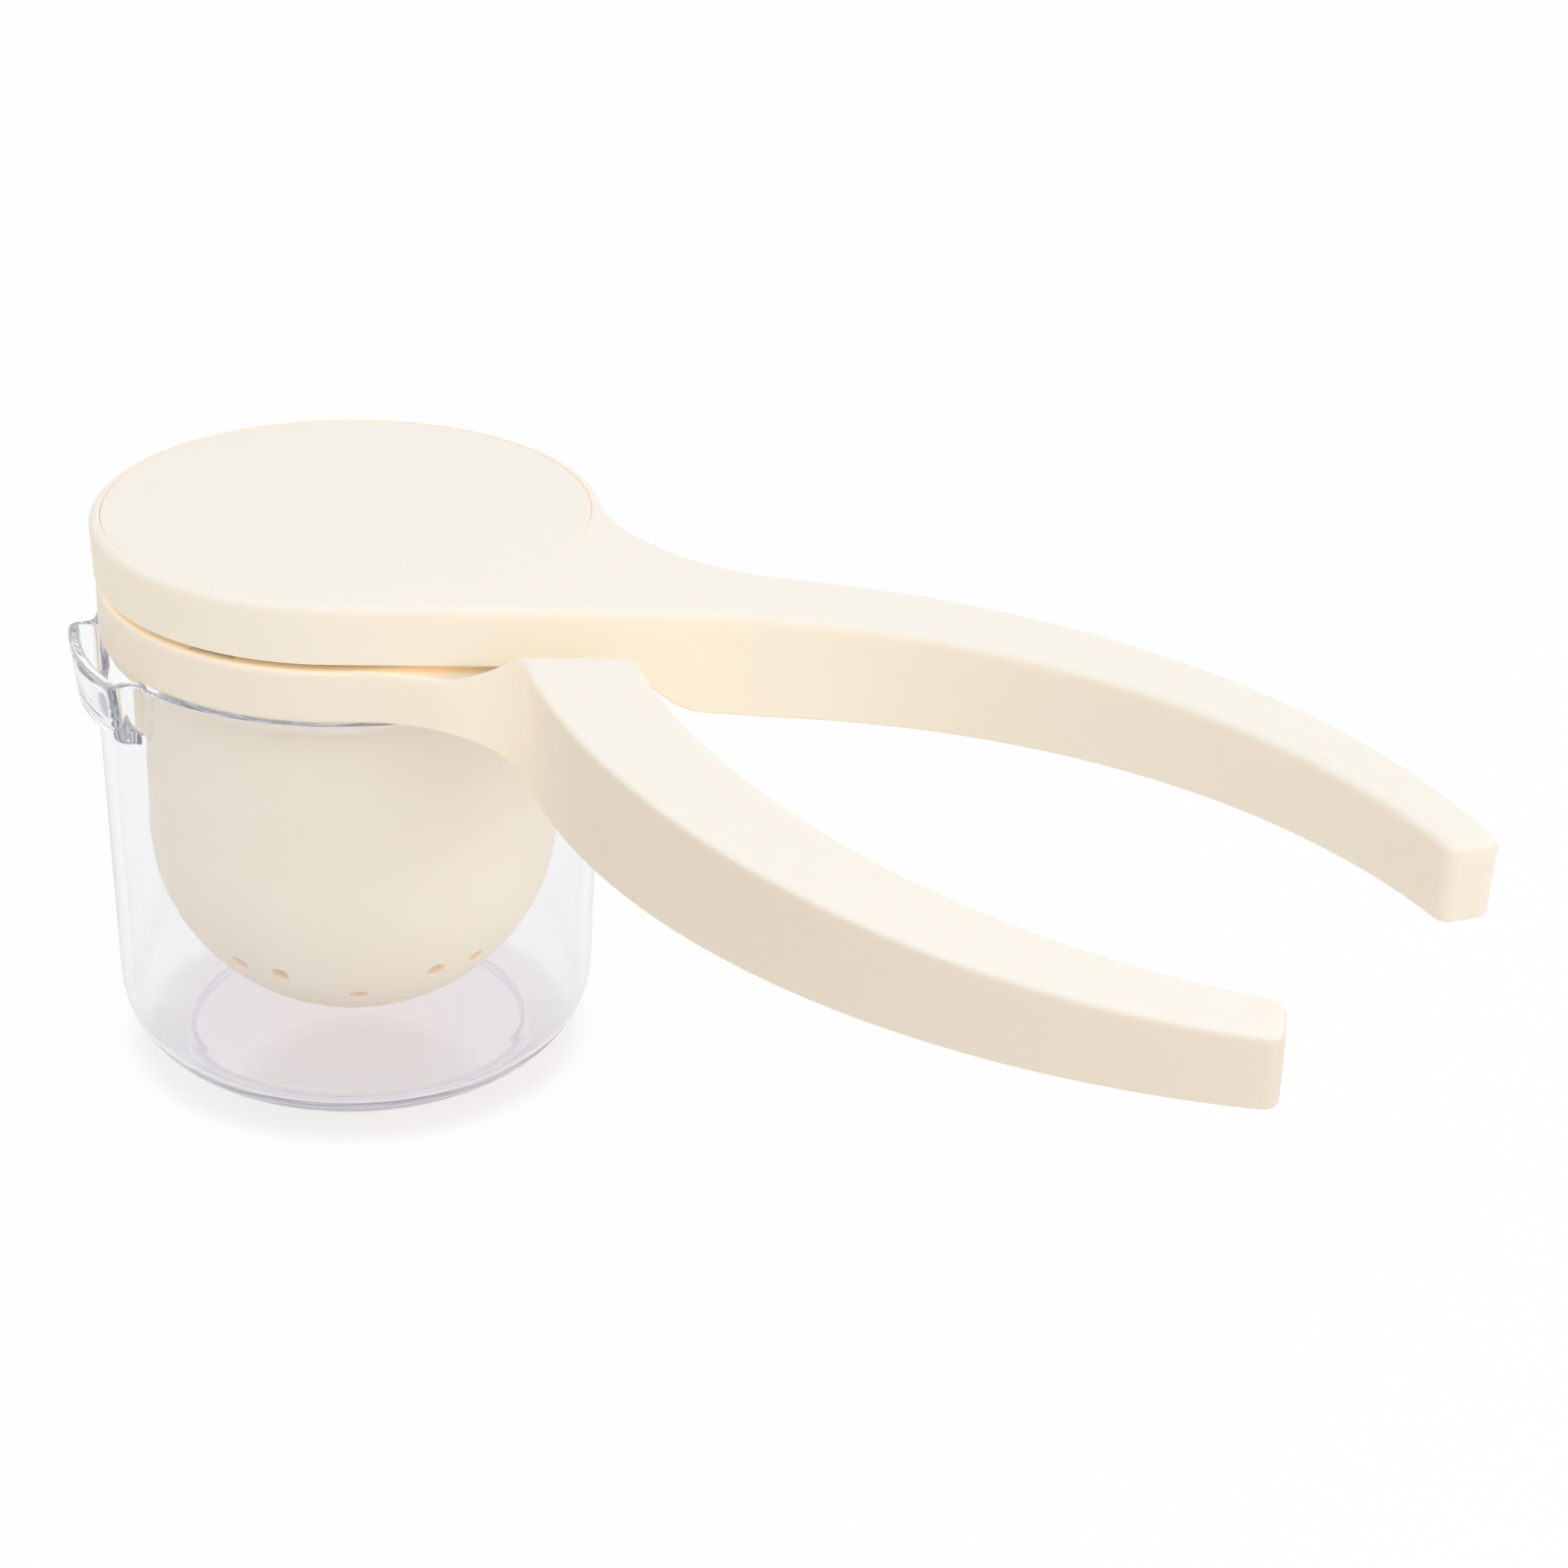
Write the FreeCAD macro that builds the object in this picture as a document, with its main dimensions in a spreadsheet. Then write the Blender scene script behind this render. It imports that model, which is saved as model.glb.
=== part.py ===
import FreeCAD, Part
import math
import os

import Sketcher

# Manual rotary juicer: a clear cup, a strainer hanging in it from a handled
# ring, and a handled lid whose threaded core screws a press head down into
# the strainer. Z points up and the origin is the centre of the cup's base.
# The two handles lie on either side of a bisector in the XY plane; u runs
# along it and v across it, towards the upper handle.

SIZES = {
    # Cup
    "cup_height": 83.3,
    "cup_rim_radius": 45.5,
    "cup_base_radius": 43.15,
    "cup_wall": 2.1,
    "cup_floor": 3.45,
    "cup_outer_corner": 15.8,
    "cup_inner_corner": 10.2,
    "cup_rim_round": 0.6,
    "floor_dish_radius": 30.6,
    "floor_dish_depth": 0.35,
    # Pouring lip
    "lip_top_radius": 49.7,
    "lip_low_radius": 48.4,
    "lip_wall": 2.0,
    "lip_floor": 1.8,
    "lip_depth": 11.3,
    "lip_middle_angle": 200.4,
    "lip_span_angle": 40.8,
    "lip_round": 1.2,
    # Ring of the lower handle
    "seat_gap": 0.1,
    "ring_height": 9.2,
    "ring_radius": 44.35,
    "ring_bore_gap": 0.3,
    "skirt_depth": 2.2,
    "skirt_wall": 1.6,
    "skirt_gap": 0.35,
    "ring_low_edge_round": 0.4,
    # Strainer basket
    "basket_radius": 37.2,
    "basket_wall": 1.9,
    "basket_bowl_height": 46.7,
    "flange_radius": 40.6,
    "flange_thickness": 2.6,
    "flange_gap": 0.25,
    "key_width": 8.0,
    "key_reach": 1.6,
    "key_count": 3,
    "drain_hole_radius": 1.6,
    # Thread between the basket's mouth and the core
    "thread_lead": 24.0,
    "thread_starts": 3,
    "thread_rib_reach": 2.0,
    "thread_rib_tip": 3.2,
    "thread_rib_root": 4.6,
    "thread_rib_arc": 80.0,
    "thread_rib_height": 81.5,
    "thread_gap": 0.35,
    "thread_side_gap": 0.45,
    "thread_low_margin": 5.8,
    # Lid
    "lid_gap": 1.4,
    "lid_height": 11.0,
    "lid_radius": 45.0,
    "lid_skirt_wall": 2.6,
    "lid_plate": 2.5,
    "lid_edge_round": 1.8,
    "lid_low_edge_round": 0.9,
    "disc_radius": 43.0,
    "disc_thickness": 2.0,
    "disc_gap": 0.12,
    "disc_edge_round": 0.25,
    "disc_peg_radius": 3.0,
    "disc_peg_depth": 1.8,
    # Handles, seen from above
    "bisector_angle": -43.31,
    "inner_arc_radius": 128.0,
    "inner_arc_clearance": 6.835,
    "inner_arc_angle": -31.216,
    "outer_arc_back": 9.0,
    "outer_arc_over": 8.8,
    "handle_flare": 6.0,
    "tip_angle": 57.35,
    "tip_round": 2.6,
    "upper_root_round": 43.7,
    "lower_root_round": 28.5,
    # Handles, seen from the side
    "upper_depth": 18.8,
    "upper_step_round": 10.3,
    "upper_step_slope": 38.5,
    "upper_taper_start": 72.0,
    "upper_taper_slope": 3.25,
    "lower_height": 20.6,
    "lower_step_lap": 0.15,
    "lower_step_round": 8.1,
    "lower_step_slope": 38.5,
    "lower_taper_start": 70.0,
    "lower_taper_radius": 555.0,
    "handle_edge_round": 1.2,
    # Hollow of each handle and the plate that closes it
    "handle_wall": 2.5,
    "handle_top_wall": 3.0,
    "handle_web_margin": 1.5,
    "cover_thickness": 2.4,
    "cover_gap": 0.12,
    "cover_boss_radius": 3.4,
    "cover_screw_first": 84.0,
    "cover_screw_step": 54.0,
    "cover_screw_count": 3,
    # Core
    "core_gap": 0.4,
    "core_wall": 2.0,
    "core_bottom": 40.0,
    "core_floor": 3.0,
    "core_flange_inset": 0.2,
    "core_flange": 2.4,
    "seal_thickness": 1.0,
    "seal_width": 3.0,
    "core_boss_radius": 3.6,
    "core_boss_circle": 28.4,
    "core_boss_depth": 14.0,
    "core_screw_count": 4,
    # Press head and its swivel
    "washer_thickness": 0.8,
    "washer_radius": 9.0,
    "swivel_play": 0.05,
    "head_radius": 32.9,
    "head_side": 2.1,
    "head_clear_bottom": 17.5,
    "head_wall": 2.4,
    "head_hub_radius": 9.0,
    "head_rib_count": 8,
    "head_rib_width": 2.4,
    "head_rib_depth": 1.6,
    "swivel_shoulder_radius": 3.0,
    "swivel_thread_radius": 2.0,
    "swivel_thread_length": 10.0,
    "swivel_head_radius": 5.2,
    "swivel_head_height": 3.2,
    "swivel_socket_width": 4.0,
    "swivel_socket_depth": 1.8,
    # Small screws
    "screw_radius": 1.5,
    "screw_head_radius": 3.0,
    "screw_head_height": 1.1,
    "screw_length": 9.0,
    "screw_sink": 0.1,
    "screw_hole_gap": 0.08,
    "screw_recess_length": 3.2,
    "screw_recess_width": 0.8,
    "screw_recess_depth": 0.7,
}

# Drain holes of one third of the bowl: height of each row, azimuths in it
DRAIN_ROWS = [
    (27.2, (-127.1, -111.8, -60.6, -45.3)),
    (22.2, (-86.2, -26.2)),
    (18.2, (-103.7, -68.7, -43.7, -8.7)),
    (14.4, (-116.2, -56.2)),
    (11.6, (-86.2, -26.2)),
]

doc = FreeCAD.newDocument("rotary_juicer")
sheet = doc.addObject("Spreadsheet::Sheet", "Sizes")
for row, (alias, number) in enumerate(SIZES.items(), start=1):
    sheet.set(f"A{row}", alias)
    sheet.set(f"B{row}", str(number))
    sheet.setAlias(f"B{row}", alias)
doc.recompute()


def size(formula):
    """Number that a formula of sheet values gives."""
    return float(sheet.evalExpression(bound(formula)))


def bound(formula):
    """Formula with every sheet value written as a reference to its cell."""
    words = sorted(SIZES, key=len, reverse=True)
    marks = {}
    for number, word in enumerate(words):
        mark = f"@{number}@"
        if word in formula:
            formula = formula.replace(word, mark)
            marks[mark] = f"<<Sizes>>.{word}"
    for mark, reference in marks.items():
        formula = formula.replace(mark, reference)
    return formula


# Heights that several pieces share
RING_BOTTOM = "(cup_height + seat_gap)"
RING_TOP = f"({RING_BOTTOM} + ring_height)"
LID_BOTTOM = f"({RING_TOP} + lid_gap)"
LID_TOP = f"({LID_BOTTOM} + lid_height)"
PLATE_TOP = f"({LID_TOP} - disc_thickness)"
PLATE_BOTTOM = f"({PLATE_TOP} - lid_plate)"
FLANGE_BOTTOM = f"({RING_TOP} - flange_thickness)"
UPPER_BOTTOM = f"({LID_TOP} - upper_depth)"
BASKET_BORE = "(basket_radius - basket_wall)"
CORE_RADIUS = f"({BASKET_BORE} - core_gap)"
CORE_ROOT = f"({BASKET_BORE} - thread_rib_reach - thread_gap)"
CORE_INSIDE = f"({CORE_ROOT} - core_wall)"
HEAD_TOP = "(core_bottom - washer_thickness - 2 * swivel_play)"
CORE_FLOOR_TOP = "(core_bottom + core_floor)"
CORE_FLANGE_RADIUS = "(flange_radius - core_flange_inset)"


def point(x, y, z=0.0):
    return FreeCAD.Vector(x, y, z)


def plane_of(body, role):
    return next(part for part in body.Origin.OriginFeatures if part.Role == role)


def new_body(name):
    body = doc.addObject("PartDesign::Body", name)
    body.Label = name
    return body


def new_sketch(body, name, role="XY_Plane", height=None, turn=None):
    """Empty sketch on one of a body's planes, raised by a bound height or turned about Z."""
    sketch = body.newObject("Sketcher::SketchObject", name)
    sketch.AttachmentSupport = [(plane_of(body, role), "")]
    sketch.MapMode = "FlatFace"
    if height is not None:
        sketch.setExpression("AttachmentOffset.Base.z", bound(height))
    if turn is not None:
        sketch.AttachmentOffset = FreeCAD.Placement(point(0, 0), FreeCAD.Rotation(point(0, 1, 0), 1.0))
        sketch.setExpression("AttachmentOffset.Rotation.Angle", bound(turn))
    return sketch


def bind_distance(sketch, kind, side, formula, end=1):
    """Hold one end of a side at a signed distance from the sketch's origin."""
    if formula == "0":
        axis = -2 if kind == "DistanceX" else -1
        sketch.addConstraint(Sketcher.Constraint("PointOnObject", side, end, axis))
        return
    index = sketch.addConstraint(Sketcher.Constraint(kind, -1, 1, side, end, size(formula)))
    sketch.setExpression(f"Constraints[{index}]", bound(formula))


def straight_outline(sketch, corners):
    """Closed outline of straight sides whose corners are bound to formulas."""
    places = [point(size(x), size(y)) for x, y in corners]
    for number, place in enumerate(places):
        sketch.addGeometry(Part.LineSegment(place, places[(number + 1) % len(places)]))
    for number in range(len(places)):
        following = (number + 1) % len(places)
        sketch.addConstraint(Sketcher.Constraint("Coincident", number, 2, following, 1))
    for number, (x, y) in enumerate(corners):
        bind_distance(sketch, "DistanceX", number, x)
        bind_distance(sketch, "DistanceY", number, y)


def bound_circle(sketch, radius, x="0", y="0"):
    """Circle with a bound radius and centre."""
    circle = sketch.addGeometry(Part.Circle(point(size(x), size(y)), point(0, 0, 1), size(radius)))
    index = sketch.addConstraint(Sketcher.Constraint("Radius", circle, size(radius)))
    sketch.setExpression(f"Constraints[{index}]", bound(radius))
    if x == "0" and y == "0":
        sketch.addConstraint(Sketcher.Constraint("Coincident", circle, 3, -1, 1))
        return
    for kind, formula in (("DistanceX", x), ("DistanceY", y)):
        if formula == "0":
            axis = -2 if kind == "DistanceX" else -1
            sketch.addConstraint(Sketcher.Constraint("PointOnObject", circle, 3, axis))
            continue
        index = sketch.addConstraint(Sketcher.Constraint(kind, -1, 1, circle, 3, size(formula)))
        sketch.setExpression(f"Constraints[{index}]", bound(formula))


def bound_outline(sketch, corners, arcs):
    """Closed outline whose corners and arc radii are bound to formulas.

    Arcs maps the number of a side to its radius and its rough middle.
    """
    places = [point(size(x), size(y)) for x, y in corners]
    sides = []
    for number, place in enumerate(places):
        following = places[(number + 1) % len(places)]
        if number in arcs:
            middle = point(size(arcs[number][1]), size(arcs[number][2]))
            sides.append(sketch.addGeometry(Part.Arc(place, middle, following)))
        else:
            sides.append(sketch.addGeometry(Part.LineSegment(place, following)))

    def end_near(side, place):
        return min((1, 2), key=lambda end: (sketch.getPoint(side, end) - place).Length)

    for number, side in enumerate(sides):
        place = places[number]
        before = sides[number - 1]
        start = end_near(side, place)
        sketch.addConstraint(Sketcher.Constraint("Coincident", before, end_near(before, place), side, start))
    for number, (x, y) in enumerate(corners):
        side = sides[number]
        bind_distance(sketch, "DistanceX", side, x, end_near(side, places[number]))
        bind_distance(sketch, "DistanceY", side, y, end_near(side, places[number]))
    for number, (radius, _, _) in arcs.items():
        index = sketch.addConstraint(Sketcher.Constraint("Radius", sides[number], size(radius)))
        sketch.setExpression(f"Constraints[{index}]", bound(radius))


def curve_outline(sketch, curves):
    """Outline of lines and three-point arcs, each given by its points."""
    for places in curves:
        if len(places) == 2:
            sketch.addGeometry(Part.LineSegment(*places))
        else:
            sketch.addGeometry(Part.Arc(*places))


def revolve(body, name, sketch, angle="360", cut=False):
    kind = "PartDesign::Groove" if cut else "PartDesign::Revolution"
    feature = body.newObject(kind, name)
    feature.Profile = sketch
    feature.ReferenceAxis = (sketch, ["V_Axis"])
    feature.setExpression("Angle", bound(angle))
    if angle != "360":
        feature.Midplane = True
    return feature


def pad(body, name, sketch, length, reversed_way=False):
    feature = body.newObject("PartDesign::Pad", name)
    feature.Profile = sketch
    feature.setExpression("Length", bound(length))
    feature.Reversed = reversed_way
    return feature


def pocket(body, name, sketch, length=None, reversed_way=False, both_ways=False):
    feature = body.newObject("PartDesign::Pocket", name)
    feature.Profile = sketch
    if length is None:
        feature.Type = "ThroughAll"
    else:
        feature.setExpression("Length", bound(length))
    feature.Reversed = reversed_way
    feature.Midplane = both_ways
    return feature


def polar_pattern(body, name, features, count):
    pattern = body.newObject("PartDesign::PolarPattern", name)
    pattern.Originals = features
    pattern.Axis = (plane_of(body, "Z_Axis"), [""])
    pattern.Angle = 360
    pattern.setExpression("Occurrences", bound(count))
    body.Tip = pattern
    return pattern


def edges_where(shape, wanted):
    """Names of the edges that a test accepts."""
    return [f"Edge{number}" for number, edge in enumerate(shape.Edges, start=1) if wanted(edge)]


def dress(body, kind, name, wanted, amount):
    """Fillet or chamfer on the edges of the body's tip that a test accepts."""
    doc.recompute()
    base = body.Tip
    names = edges_where(base.Shape, wanted)
    if not names:
        raise RuntimeError(f"{name}: no edge found")
    feature = body.newObject(f"PartDesign::{kind}", name)
    feature.Base = (base, names)
    feature.setExpression("Radius" if kind == "Fillet" else "Size", bound(amount))
    return feature


def is_circle_at(radius, height, reach=0.05):
    """Test for level circular edges about the Z axis."""

    def test(edge):
        curve = edge.Curve
        if not isinstance(curve, Part.Circle):
            return False
        level = abs(curve.Axis.z) > 0.999
        centred = math.hypot(curve.Center.x, curve.Center.y) < reach
        return level and centred and abs(curve.Radius - radius) < reach and abs(curve.Center.z - height) < reach

    return test


def is_level_at(height, reach=0.02):
    """Test for edges that lie level at one height."""

    def test(edge):
        box = edge.BoundBox
        return abs(box.ZMin - height) < reach and abs(box.ZMax - height) < reach

    return test


def is_upright_near(places, reach=0.3):
    """Test for upright edges over one of several plan positions."""

    def test(edge):
        box = edge.BoundBox
        if box.ZLength < 1.0 or box.XLength > reach or box.YLength > reach:
            return False
        centre = box.Center
        return any(math.hypot(centre.x - place.x, centre.y - place.y) < reach for place in places)

    return test


# Plan of the handles


def plan(u, v, side):
    """Plan position of a point given along and across the handles' bisector."""
    turn = math.radians(size("bisector_angle"))
    v = v * side
    return point(u * math.cos(turn) - v * math.sin(turn), u * math.sin(turn) + v * math.cos(turn))


def circles_meet(first, first_radius, second, second_radius, left):
    """One of the two points where circles meet, on the chosen side of the centre line."""
    line = second - first
    reach = line.Length
    along = (reach ** 2 + first_radius ** 2 - second_radius ** 2) / (2 * reach)
    across = math.sqrt(first_radius ** 2 - along ** 2)
    direction = line * (1 / reach)
    normal = point(-direction.y, direction.x)
    return first + direction * along + normal * (across if left else -across)


def line_meets_circle(start, direction, centre, radius):
    """Point where a line leaves a circle, going along the line."""
    offset = start - centre
    half = offset.dot(direction)
    rest = offset.dot(offset) - radius ** 2
    return start + direction * (-half + math.sqrt(half ** 2 - rest))


def arc_middle(centre, first, last):
    """Point halfway along the short arc between two points of a circle."""
    chord = (first + last) * 0.5 - centre
    return centre + chord * ((first - centre).Length / chord.Length)


class HandlePlan:
    """Plan outline of a handle, or of a smaller outline set in from it."""

    def __init__(self, hub_radius, root_round, inset=0.0):
        self.centre = point(0, 0)
        self.hub = size(hub_radius) - inset
        self.inset = inset
        turn = math.radians(size("inner_arc_angle"))
        reach = size("lid_radius + inner_arc_clearance + inner_arc_radius")
        self.inner_centre = point(reach * math.cos(turn), reach * math.sin(turn))
        self.inner_radius = size("inner_arc_radius") + inset
        self.outer_centre = self.inner_centre + point(-size("outer_arc_back"), size("outer_arc_over"))
        self.outer_radius = size("inner_arc_radius + handle_flare") - inset
        self.root_radius = size(root_round) + inset
        self.root_centre = circles_meet(
            self.centre,
            self.hub + self.root_radius,
            self.outer_centre,
            self.outer_radius + self.root_radius,
            left=True,
        )
        turn += math.asin((self.hub + self.inner_radius) / reach)
        self.root_direction = point(math.cos(turn), math.sin(turn))
        self.root_normal = point(-math.sin(turn), math.cos(turn))

    def hub_inner(self):
        return self.centre - self.root_normal * self.hub

    def inner_start(self):
        return self.inner_centre + self.root_normal * self.inner_radius

    def end_directions(self):
        """Outward direction across the end face, and forward direction out of it."""
        turn = math.radians(size("tip_angle"))
        return point(math.cos(turn), math.sin(turn)), point(math.sin(turn), -math.cos(turn))

    def tip_corners(self):
        """Inner and outer corner of the end face."""
        across, forward = self.end_directions()
        foot = self.outer_centre - forward * self.inset
        outer = line_meets_circle(foot, across, self.outer_centre, self.outer_radius)
        inner = line_meets_circle(foot, across, self.inner_centre, self.inner_radius)
        return inner, outer

    def outer_start(self):
        return self.root_centre + (self.outer_centre - self.root_centre).normalize() * self.root_radius

    def hub_outer(self):
        return self.root_centre * (self.hub / self.root_centre.Length)

    def curves(self, web_radius=None):
        """Closed outline; without a web radius it runs in to the axis."""
        inner_tip, outer_tip = self.tip_corners()
        first = self.hub_inner()
        last = self.hub_outer()
        if web_radius is not None:
            first = line_meets_circle(self.hub_inner(), self.root_direction, self.centre, web_radius)
            last = circles_meet(self.centre, web_radius, self.root_centre, self.root_radius, left=False)
        outline = [
            (first, self.inner_start()),
            (self.inner_start(), arc_middle(self.inner_centre, self.inner_start(), inner_tip), inner_tip),
            (inner_tip, outer_tip),
            (outer_tip, arc_middle(self.outer_centre, outer_tip, self.outer_start()), self.outer_start()),
            (self.outer_start(), arc_middle(self.root_centre, self.outer_start(), last), last),
        ]
        if web_radius is None:
            outline += [(last, self.centre), (self.centre, first)]
        else:
            outline += [(last, arc_middle(self.centre, last, first), first)]
        return outline


# Side view of the handles


def step_curves(start, drop, radius, slope, way):
    """Soft step as two arcs joined by a slope.

    Start is where it leaves the level, drop its signed height, and way +1 or
    -1 for the direction it runs in.
    """
    angle = math.radians(slope)
    sign = 1 if drop > 0 else -1
    rise = radius * (1 - math.cos(angle))
    straight = (abs(drop) - 2 * rise) / math.tan(angle)
    run = radius * math.sin(angle)

    def at(along, up):
        return point(start.x + way * along, start.y + sign * up)

    half = math.radians(slope / 2)
    half_run = radius * math.sin(half)
    half_rise = radius * (1 - math.cos(half))
    far = 2 * run + straight
    top = abs(drop)
    return [
        (start, at(half_run, half_rise), at(run, rise)),
        (at(run, rise), at(run + straight, top - rise)),
        (at(run + straight, top - rise), at(far - half_run, top - half_rise), at(far, top)),
    ]


def handle_reach():
    """Distance from the axis that is past both handles' tips."""
    return size("lid_radius + inner_arc_clearance + 2 * inner_arc_radius + handle_flare")


def upper_underside(shift):
    """Curves of the upper handle's underside, moved up by shift, from the lid to past the tip."""
    level = size(LID_BOTTOM) + shift
    start = point(size("lid_radius"), level)
    curves = step_curves(
        start,
        size(UPPER_BOTTOM) - size(LID_BOTTOM),
        size("upper_step_round"),
        size("upper_step_slope"),
        1,
    )
    foot = curves[-1][-1]
    bend = point(size("upper_taper_start"), foot.y)
    reach = handle_reach()
    rise = (reach - bend.x) * math.tan(math.radians(size("upper_taper_slope")))
    return [(point(-reach, level), start)] + curves + [(foot, bend), (bend, point(reach, bend.y + rise))]


def lower_topside(shift):
    """Curves of the lower handle's top, moved down by shift, from behind the ring to past the tip."""
    level = size(RING_TOP) - shift
    start = point(-size("ring_radius - lower_step_lap"), level)
    curves = step_curves(
        start,
        size(f"{RING_BOTTOM} + lower_height") - size(RING_TOP),
        size("lower_step_round"),
        size("lower_step_slope"),
        -1,
    )
    crest = curves[-1][-1]
    bend = point(-size("lower_taper_start"), crest.y)
    radius = size("lower_taper_radius")
    centre = point(bend.x, bend.y - radius)
    reach = handle_reach()
    run = reach - size("lower_taper_start")
    last = point(-reach, centre.y + math.sqrt(radius ** 2 - run ** 2))
    return [(point(reach, level), start)] + curves + [(crest, bend), (bend, arc_middle(centre, bend, last), last)]


def closed_by(curves, height):
    """Curves closed over a level line at a height above or below them."""
    first = curves[0][0]
    last = curves[-1][-1]
    return curves + [(last, point(last.x, height)), (point(last.x, height), point(first.x, height)),
                     (point(first.x, height), first)]


def cover_screw_places(side):
    """Plan places of a cover's screws, midway between the handle's edges."""
    shape = HandlePlan("lid_radius", "upper_root_round")
    places = []
    for number in range(int(size("cover_screw_count"))):
        along = size("cover_screw_first") + number * size("cover_screw_step")
        inner = shape.inner_centre.y + math.sqrt(shape.inner_radius ** 2 - (along - shape.inner_centre.x) ** 2)
        outer = shape.outer_centre.y + math.sqrt(shape.outer_radius ** 2 - (along - shape.outer_centre.x) ** 2)
        places.append(plan(along, (inner + outer) / 2, side))
    return places


def side_curves(curves, side):
    """Curves given along and across the bisector, placed in plan."""
    return [tuple(plan(place.x, place.y, side) for place in places) for places in curves]


def tip_places(shape, side):
    return [plan(place.x, place.y, side) for place in shape.tip_corners()]


# Clear cup with its pouring lip


def build_cup():
    body = new_body("juice_cup")
    wall = new_sketch(body, "cup_wall_outline", "XZ_Plane")
    inner_base = "(cup_base_radius + (cup_rim_radius - cup_base_radius) * cup_floor / cup_height - cup_wall)"
    straight_outline(
        wall,
        [
            ("0", "0"),
            ("cup_base_radius", "0"),
            ("cup_rim_radius", "cup_height"),
            ("cup_rim_radius - cup_wall", "cup_height"),
            (inner_base, "cup_floor"),
            ("0", "cup_floor"),
        ],
    )
    revolve(body, "cup_wall_turned", wall)
    dress(body, "Fillet", "cup_foot_round", is_circle_at(size("cup_base_radius"), 0.0), "cup_outer_corner")
    inner = size(inner_base)
    dress(body, "Fillet", "cup_floor_round", is_circle_at(inner, size("cup_floor"), 0.2), "cup_inner_corner")

    lip = new_sketch(body, "lip_outline", "XZ_Plane", turn="lip_middle_angle")
    inside = "(cup_rim_radius - cup_wall / 2)"
    lip_bottom = "(cup_height - lip_depth)"
    straight_outline(
        lip,
        [
            (f"{inside} - 0.5", lip_bottom),
            ("lip_low_radius", lip_bottom),
            ("lip_top_radius", "cup_height"),
            (inside, "cup_height"),
        ],
    )
    revolve(body, "lip_block", lip, "lip_span_angle")
    doc.recompute()
    solid_volume = body.Shape.Volume
    hollow = new_sketch(body, "lip_hollow_outline", "XZ_Plane", turn="lip_middle_angle")
    straight_outline(
        hollow,
        [
            ("cup_rim_radius - cup_wall - 1.5", f"{lip_bottom} + lip_floor"),
            ("lip_low_radius - lip_wall", f"{lip_bottom} + lip_floor"),
            ("lip_top_radius - lip_wall", "cup_height + 1"),
            ("cup_rim_radius - cup_wall - 1.5", "cup_height + 1"),
        ],
    )
    revolve(body, "lip_hollow", hollow, "lip_span_angle - 2 * lip_wall / lip_top_radius * 57.3", cut=True)
    doc.recompute()
    if body.Shape.Volume > solid_volume - 100:
        raise RuntimeError("the pouring lip is not hollow")
    lip_low = size("cup_height - lip_depth")

    def lip_edge(edge):
        box = edge.BoundBox
        outside = math.hypot(box.Center.x, box.Center.y) > size("cup_rim_radius") + 1.2
        return outside and abs(box.ZMin - lip_low) < 0.05 and abs(box.ZMax - lip_low) < 0.05

    dress(body, "Fillet", "lip_low_round", lip_edge, "lip_round")
    dress(body, "Fillet", "cup_rim_edge", is_level_at(size("cup_height")), "cup_rim_round")
    dish = new_sketch(body, "floor_dish_outline", height="cup_floor")
    bound_circle(dish, "floor_dish_radius")
    pocket(body, "floor_dish", dish, "floor_dish_depth")
    return body


# Shared pieces of the two handles


def cavity_plan(hub_radius, root_round, gap="0"):
    """Plan outline of a handle's hollow, or of the cover that closes it."""
    inset = size(f"handle_wall + {gap}")
    web = size(f"{hub_radius} + handle_web_margin + {gap}")
    return HandlePlan(hub_radius, root_round, inset).curves(web)


def screw_circles(sketch, side, radius):
    for place in cover_screw_places(side):
        sketch.addGeometry(Part.Circle(place, point(0, 0, 1), size(radius)))


def round_tip(body, shape, side, name):
    dress(body, "Fillet", name, is_upright_near(tip_places(shape, side), 0.6), "tip_round")


def outer_rim_edges(low, high, across):
    """Test for the edges around a handle's top or underside.

    Low and high bound their height; across is the box length that is nil for
    the lines that cross the handle.
    """

    def test(edge):
        box = edge.BoundBox
        if box.ZMin < low or box.ZMax > high or edge.Length < 0.2:
            return False
        return getattr(box, across) > 0.01

    return test


def cut_from(base, tool, label):
    """One named piece cut by another shape."""
    base.Label = f"{label}_block"
    cut = doc.addObject("Part::Cut", label)
    cut.Label = label
    cut.Base = base
    cut.Tool = tool
    return cut


# Ring with the lower handle


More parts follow.
